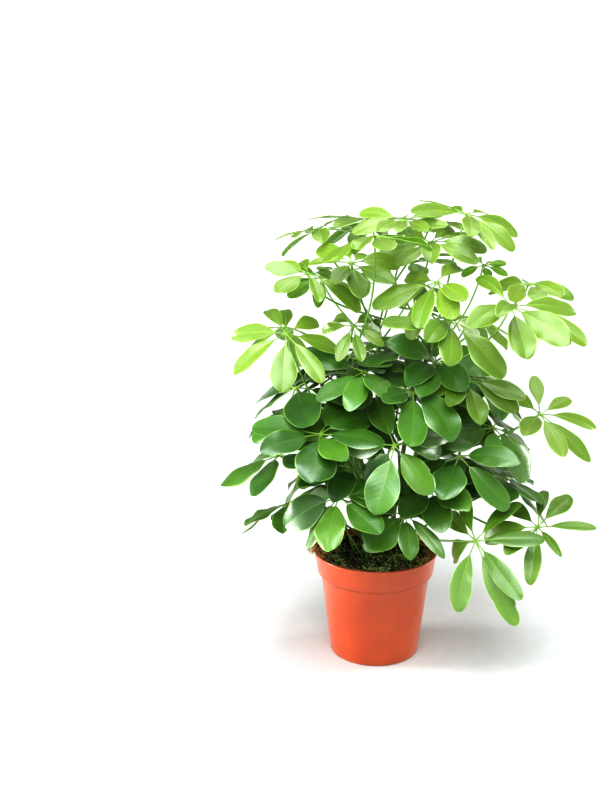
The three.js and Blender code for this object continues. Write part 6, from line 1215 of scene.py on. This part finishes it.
# ---- stems ---------------------------------------------------------------------------
def make_stem(i):
    rng = np.random.default_rng(100 + i)
    x0, y0, x1, y1, top, r0, r1 = STEMS[i]
    z = np.arange(84.0, top + 0.1, 1.7)
    nodes = sorted([l[1] for l in LEAVES if l[0] == i] + list(np.arange(112, 135, 7.5) + rng.uniform(-2, 2, 4)))
    c = np.array([stem_at(i, q) for q in z])
    r = np.array([stem_radius(i, q) for q in z])
    scar = np.zeros(len(z))
    for q in nodes:
        d = (z - q) / 1.9
        r = r + 0.30 * np.exp(-((d + 0.9) ** 2)) - 0.10 * np.exp(-((d - 1.1) ** 2))
        scar = np.maximum(scar, np.exp(-((d * 1.4) ** 2)))
    r = r * (1 + 0.10 * np.exp(-(((z - 106) / 5) ** 2)))  # it thickens where it meets the soil
    # the blunt bud at the top, in a few scales
    way = unit(c[-1] - c[-2])
    end = c[-1]
    c = np.concatenate([c, [end + way * k for k in (1.4, 2.8, 4.2, 5.4)]])
    r = np.concatenate([r, r1 * np.array([0.98, 0.82, 0.58, 0.3])])
    scar = np.concatenate([scar, [0.2] * 4])
    z = np.concatenate([z, [top] * 4])
    b = Build(("along", "scar"))
    sides = 18
    up = np.clip((z - SOIL_LEVEL) / (top - SOIL_LEVEL), 0, 1)
    tube(b, c, r, sides, round_end=(False, True), wobble=lambda s, q: 1 + 0.035 * np.sin(3 * q + 9 * s + i) + 0.02 * np.sin(7 * q - 31 * s),
         along=np.repeat(np.concatenate([up, [1, 1]]), sides), scar=np.repeat(np.concatenate([scar, [0.2, 0.2]]), sides))
    # scales round the bud: short pointed sheaths
    for k in range(4):
        a = rng.uniform(0, 2 * np.pi) + k * 1.9
        out = np.array([math.cos(a), math.sin(a), 0])
        out = unit(out - (out @ way) * way)
        foot = end + way * (k * 0.9 - 0.6) + out * r1 * 0.55
        line = np.array([foot + way * s * 5.2 + out * (1.1 * math.sin(s * 2.4)) for s in np.linspace(0, 1, 6)])
        tube(b, line, [0.9, 1.15, 1.05, 0.8, 0.45, 0.18], 7, along=1.0, scar=0.0)
    return finish_piece(b.mesh(f"stem_bark_{i + 1}", [STEM], 60), f"stem_{i + 1}")


for i in range(len(STEMS)):
    make_stem(i)


def make_shoots():
    """Two thin young shoots that rise from the soil at the front left, each with a folded bud."""
    rng = np.random.default_rng(77)
    b = Build(("along", "scar"))
    for foot, knee, tip in (((-13.2, -8.2), (-25, -8.6, 124), (-34, -12, 143)), ((-21.5, 2.3), (-27, 2.4, 121), (-31.5, 0.5, 139))):
        c = np.array([(foot[0], foot[1], 103.5), (foot[0] - 1, foot[1], 110), knee, tip], float)
        t = np.linspace(0, 1, 22)
        p = bezier(c, t)
        tube(b, p, np.interp(t, [0, 0.2, 0.9, 1], [1.15, 0.95, 0.8, 0.85]), 9, along=np.repeat(0.55 + 0.45 * np.linspace(0, 1, 26), 9), scar=0.0)
        way = unit(p[-1] - p[-2])
        bud = [p[-1] + way * q for q in (-0.5, 1, 3, 5.5, 8, 10)]
        tube(b, bud, [0.8, 1.15, 1.45, 1.2, 0.7, 0.2], 10, along=1.0, scar=0.0)
        side = unit(np.cross(way, rng.normal(size=3)))
        tube(b, [q + side * w for q, w in zip(bud[:5], (0.3, 0.9, 1.5, 1.7, 1.5))], [0.5, 0.8, 0.9, 0.6, 0.15], 8, along=1.0, scar=0.0)
    return finish_piece(b.mesh("young_shoots", [STEM], 60), None)


# ---- leaves --------------------------------------------------------------------------
ROWS = np.array([0, 0.03, 0.07, 0.12, 0.18, 0.25, 0.32, 0.39, 0.46, 0.53, 0.60, 0.67, 0.73, 0.79, 0.845, 0.89, 0.925, 0.955, 0.977, 0.991, 0.998])
COLS = np.array([-1, -0.94, -0.74, -0.48, -0.22, -0.06, 0, 0.06, 0.22, 0.48, 0.74, 0.94, 1])
# Bites and notches: (leaf, leaflet): side, place along the blade, depth, length
NOTCHES = {
    (5, 1): [("left", 0.915, 0.42, 0.030)],
    (27, 0): [("left", 0.73, 0.45, 0.055)],
    (2, 1): [("right", 0.80, 0.16, 0.050), ("left", 0.62, 0.10, 0.040)],
    (17, 1): [("both", 0.985, 0.30, 0.020)],
}


def petiole_curve(leaf):
    stem, z, hub, axis, arch = leaf[:5]
    k0, k1, rise, aim = arch
    hub, n = np.array(hub, float), unit(axis)
    c = stem_at(stem, z)
    way = stem_way(stem, z)
    out = np.array([hub[0] - c[0], hub[1] - c[1], 0.0])
    square = unit(out - (out @ way) * way)
    out = unit(out)
    p0 = c + square * (stem_radius(stem, z) + GAP)
    chord = hub - p0
    length = np.linalg.norm(chord)
    t0 = unit(unit(chord) * 0.75 + out * (1 - rise) * 1.2 + np.array([0, 0, rise * 0.55]))
    t1 = unit(n * aim + unit(chord) * (1 - aim))
    return np.array([p0, p0 + t0 * length * k0, hub - t1 * length * k1, hub]), square, length


def bezier(c, t):
    t = np.asarray(t, float)[:, None]
    a = 1 - t
    return a**3 * c[0] + 3 * a * a * t * c[1] + 3 * a * t * t * c[2] + t**3 * c[3]


make_shoots()


# blades that lie close over or under another leaf stay nearly flat, so that they clear it
CLOSE = {(13, 6), (16, 1), (20, 6), (23, 1), (21, 0), (23, 4), (26, 5), (26, 6), (28, 4), (27, 5), (30, 4), (31, 2), (32, 6)}


def uv_cell(k, cols=6, rows=3):
    i, j = k % cols, k // cols
    return np.array([(i + 0.5) / cols, (j + 0.5) / rows]), np.array([0.93 / cols, 0.93 / rows])


def add_blade(b, hub, fr, leaflet, key, cell, age, rng):
    az, el, length, width, roll, droop, bend, stalk, fold = leaflet
    rnd = rng.uniform(0, 1)
    u = ROWS
    s = stalk + (1 - stalk) * u
    p, t, up, side = midrib(hub, fr, leaflet, s)
    if age > 0.5:  # old blades are widest near their middle, young ones nearer the tip
        w = width / 2 * blade_shape(u, rng.uniform(1.02, 1.18), rng.uniform(0.58, 0.74), rng.uniform(0.44, 0.62))
    else:
        w = width / 2 * blade_shape(u, rng.uniform(1.16, 1.34), rng.uniform(0.66, 0.84), rng.uniform(0.38, 0.56))
    wl, wr = w.copy(), w.copy()
    # no two edges run quite alike
    wl *= 1 + 0.035 * np.sin(9 * u + rng.uniform(0, 6)) * smooth(u, 0, 0.2)
    wr *= 1 + 0.035 * np.sin(9 * u + rng.uniform(0, 6)) * smooth(u, 0, 0.2)
    nicks = list(NOTCHES.get(key, []))
    chance = np.random.default_rng(int(rnd * 1e6))
    if age > 0.5 and not nicks and chance.random() < 0.10:  # a small tear in some old edges
        nicks.append((("left", "right")[int(chance.integers(2))], chance.uniform(0.45, 0.93), chance.uniform(0.12, 0.30), chance.uniform(0.018, 0.04)))
    for which, place, depth, long in nicks:
        d = 1 - depth * np.exp(-(((u - place) / long) ** 2))
        if which != "right":
            wl *= d
        if which != "left":
            wr *= d
    wl, wr = np.maximum(wl, 0.5), np.maximum(wr, 0.5)
    ease = 0.1 if key in CLOSE else 1.0
    f = math.radians(fold) * (0.8 if ease == 1 else 1.0) * smooth(u, 0.0, 0.08)
    v = COLS
    half = np.where(v[None] < 0, wl[:, None], wr[:, None])
    av = np.sqrt(v**2 + 0.02) - 0.1414
    x = v[None] * half * np.cos(f)[:, None]
    # the fold, the edges' slight downward roll, and a wave that grows to the edge
    curl = rng.uniform(-0.08, 0.19, 2)[(v > 0).astype(int)] * width * 0.8 * ease
    z = av[None] * half * np.sin(f)[:, None] - (curl * np.abs(v) ** 2)[None] * smooth(half, 2, 15)
    lip = rng.uniform(0.1, 0.7) * ease
    z = z - lip * (np.abs(v) ** 9)[None] * smooth(half, 2, 10)
    amp = rng.uniform(0.5, 1.7) * smooth(width, 10, 30) * ease
    fl, fr_, pl, pr = rng.uniform(1.2, 2.6), rng.uniform(1.2, 2.6), rng.uniform(0, 6.3), rng.uniform(0, 6.3)
    wave = np.where(v[None] < 0, np.sin(2 * np.pi * fl * u + pl)[:, None], np.sin(2 * np.pi * fr_ * u + pr)[:, None])
    z = z + amp * wave * (v**2)[None] * smooth(u, 0.05, 0.4)[:, None]
    tip = rng.uniform(-0.2, 1.3) * ease
    z = z - tip * (np.clip(u - 0.78, 0, 1)[:, None] / 0.22) ** 2
    spine = p + 0 * t
    mid = spine[:, None] + side[:, None] * x[..., None] + up[:, None] * z[..., None]
    thick = (0.26 - 0.10 * np.abs(v)[None] ** 3) * np.ones_like(half)
    # the midrib: a groove above, a ridge below, both fading towards the tip
    rib = np.exp(-((x / (0.42 + 0.5 * (1 - u)[:, None])) ** 2)) * (1 - 0.85 * u)[:, None]
    top = mid + up[:, None] * (thick - 0.16 * rib)[..., None]
    low = mid - up[:, None] * (thick * 0.6 + 0.62 * rib)[..., None]
    along = u[:, None] * (1 - stalk) * length
    space = rng.uniform(4.6, 6.2)
    phase = (along - 0.72 * np.abs(x) - 0.010 * x**2) / space + np.where(v[None] < 0, 0.5, 0.0)
    centre, size = uv_cell(cell)
    centre_b, _ = uv_cell(cell + 8)
    scale = min(size[0] / (width * 1.08), size[1] / ((1 - stalk) * length * 1.04))
    uv = np.stack([x * scale, np.broadcast_to((along - (1 - stalk) * length / 2) * scale, x.shape)], -1)
    n = x.size
    shared = dict(age=np.clip(age + rng.normal(-0.02, 0.045 + 0.075 * (age > 0.5)), 0, 1), across=x, edge=np.broadcast_to(np.abs(v)[None], x.shape), vein=phase, part=0.0,
                  rnd=rnd, along=np.broadcast_to(u[:, None], x.shape))
    a = b.points(top, uv + centre, under=0.0, **shared).reshape(x.shape)
    c = b.points(low, uv * [-1, 1] + centre_b, under=1.0, **shared).reshape(x.shape)
    b.sheet(a, flip=False)
    b.sheet(c, flip=True)
    b.quads(a[1:, 0], a[:-1, 0], c[:-1, 0], c[1:, 0])
    b.quads(a[:-1, -1], a[1:, -1], c[1:, -1], c[:-1, -1])
    b.quads(a[-1, :-1], a[-1, 1:], c[-1, 1:], c[-1, :-1])
    b.quads(a[0, 1:], a[0, :-1], c[0, :-1], c[0, 1:])


def make_leaf(k, leaf):
    stem, z, hub, axis, arch, age, leaflets = leaf
    rng = np.random.default_rng(1000 + k)
    hub = np.array(hub, float)
    fr = axes(unit(axis))
    b = Build()
    for j, leaflet in enumerate(leaflets):
        add_blade(b, hub, fr, leaflet, (k + 1, j), j, age, rng)
        # the leaflet's own stalk, from inside the hub to just inside the blade
        stalk = leaflet[7]
        s = np.linspace(-0.01, stalk + 0.035, 8)
        p, t, up, side = midrib(hub, fr, leaflet, s)
        p[0] = hub + (p[0] - hub) * 0.35
        r = np.interp(np.linspace(0, 1, 8), [0, 0.12, 0.35, 0.8, 1], [0.95, 0.86, 0.58, 0.56, 0.42]) * (0.85 + 0.25 * age)
        x0 = 2 / 3 + 0.02 + 0.018 * j
        tube(b, p, r, 7, (x0, 0.69, x0 + 0.014, 0.98), along=np.repeat(np.linspace(0, 0.12, 8 + 4), 7), age=age, part=1.0, rnd=0.5)
    # the hub: a small swollen knot, a little domed
    n = fr[2]
    line = [hub - n * 1.5, hub - n * 0.7, hub + n * 0.15, hub + n * 0.75]
    tube(b, line, [0.95, 1.55, 1.6, 0.95], 12, (0.84, 0.69, 0.87, 0.78), along=0.0, age=age, part=1.0, rnd=0.5)
    # the leaf's stalk
    c, square, length = petiole_curve(leaf)
    m = int(max(14, length / 4.5))
    t = 1 - np.linspace(0, 1, m) ** 1.15
    p = bezier(c, t)
    slim = 0.72 + 0.26 * age + 0.0012 * length
    r = slim * (1 + 0.55 * np.exp(-((1 - t) * length / 2.2) ** 2) + 0.12 * (1 - t)) + 0.95 * np.exp(-(t * length / 3.4) ** 2)
    for q in range(m):
        a = stem_at(stem, p[q][2])
        way = stem_way(stem, p[q][2])
        d = p[q] - a
        d -= (d @ way) * way
        need = stem_radius(stem, p[q][2]) + r[q] * 0.8 * float(smooth(t[q] * length, 1.5, 7)) + 0.05
        dist = np.linalg.norm(d)
        if dist < need and p[q][2] < STEMS[stem][4]:
            p[q] += d / dist * (need - dist)
    p[-1] = p[-1] - square * 0.9
    # it isn't drawn with a ruler: a slight waver between its ends
    _, s1, s2 = frames_along(p)
    waver = (0.0 if k + 1 in (35, 37) else 0.5) * np.sin(np.pi * t)
    p = p + s1 * (waver * np.sin(7 * t + rng.uniform(0, 6)))[:, None] + s2 * (waver * np.sin(9 * t + rng.uniform(0, 6)))[:, None]
    bright = 1.0
    tube(b, p, r, 9, (0.89, 0.69, 0.985, 0.985), along=np.repeat(np.concatenate([[0] * 2, np.linspace(0, 1, m), [1] * 2]), 9), age=age * bright, part=1.0, rnd=0.5)
    return finish_piece(b.mesh(f"compound_leaf_{k + 1:02d}", [LEAF], 55), f"leaf_{k + 1:02d}")


for k, leaf in enumerate(LEAVES):
    make_leaf(k, leaf)


# ---- stage, lights and camera ------------------------------------------------------------
def make_stage():
    """A pale floor that runs out into the white of the room."""
    m = Nodes("pale_floor")
    g = m.noise(60, 3, 0.5)
    m.shader(Base_Color=m.mix(m.span(g, 0.3, 0.7), (0.58, 0.58, 0.577), (0.60, 0.60, 0.597)), Roughness=0.75)
    far = m.add("ShaderNodeVectorMath", operation="LENGTH")
    m.put(far.inputs[0], m.object_coords())
    glow = m.add("ShaderNodeEmission")
    glow.inputs["Color"].default_value = (1, 1, 1, 1)
    glow.inputs["Strength"].default_value = 0.97
    both = m.add("ShaderNodeMixShader")
    m.put(both.inputs[0], m.span(far.outputs["Value"], 0.5, 2.2))
    m.t.links.new(m.p.outputs[0], both.inputs[1])
    m.t.links.new(glow.outputs[0], both.inputs[2])
    m.t.links.new(both.outputs[0], m.out.inputs["Surface"])
    r, s = 60.0, 96
    q = np.arange(s) * 2 * np.pi / s
    me = bpy.data.meshes.new("floor")
    me.from_pydata([(r * math.cos(a), r * math.sin(a), 0) for a in q], [], [list(range(s))])
    me.materials.append(m.mat)
    o = bpy.data.objects.new("floor", me)
    scene.collection.objects.link(o)


make_stage()


def area(name, where, at, size, power, colour=(1, 1, 1)):
    d = bpy.data.lights.new(name, "AREA")
    d.shape, d.size, d.size_y, d.energy, d.color = "RECTANGLE", size[0], size[1], power, colour
    o = bpy.data.objects.new(name, d)
    o.location = where
    way = np.array(at) - np.array(where)
    from mathutils import Vector
    o.rotation_mode = "QUATERNION"
    o.rotation_quaternion = Vector(way).to_track_quat("-Z", "Y")
    scene.collection.objects.link(o)


area("above_front", (-0.45, -2.0, 1.95), (0, 0, 0.3), (2.4, 1.7), 70, (0.95, 0.98, 1.0))
area("overhead", (-0.1, -1.0, 2.9), (0, 0, 0.25), (1.8, 1.6), 72, (0.90, 0.96, 1.0))
area("above_back", (0.35, 0.9, 2.2), (0, 0, 0.3), (1.3, 1.0), 15)
area("right", (1.7, 0.45, 0.5), (0, 0, 0.1), (0.4, 0.9), 20)
area("left", (-1.7, 0.0, 0.5), (0, 0, 0.1), (0.55, 0.9), 34)

world = bpy.data.worlds.new("studio")
world.use_nodes = True
bg = next(n for n in world.node_tree.nodes if n.type == "BACKGROUND")
# white round the horizon, dimmer overhead, so that the leaves shade each other
wt = world.node_tree
tc = wt.nodes.new("ShaderNodeTexCoord")
sep = wt.nodes.new("ShaderNodeSeparateXYZ")
wt.links.new(tc.outputs["Generated"], sep.inputs[0])
ramp = wt.nodes.new("ShaderNodeMapRange")
ramp.interpolation_type = "SMOOTHSTEP"
for key, v in (("From Min", 0.07), ("From Max", 0.16), ("To Min", 0.97), ("To Max", 0.18)):
    ramp.inputs[key].default_value = v
wt.links.new(sep.outputs["Z"], ramp.inputs["Value"])
wt.links.new(ramp.outputs["Result"], bg.inputs["Strength"])
bg.inputs["Color"].default_value = (1, 1, 1, 1)
scene.world = world
scene.view_settings.view_transform = "Standard"
scene.view_settings.look = "None"
scene.view_settings.gamma = 0.68
scene.view_settings.exposure = 0.40

cam = bpy.data.cameras.new("camera")
cam.lens, cam.sensor_width, cam.sensor_fit = 52.65, 36.0, "AUTO"
cam.clip_start, cam.clip_end = 0.05, 200
camera = bpy.data.objects.new("camera", cam)
camera.location = (-0.0798, -1.1597, 0.5699)
camera.rotation_euler = (math.radians(75.73), 0, 0)
scene.collection.objects.link(camera)
scene.camera = camera
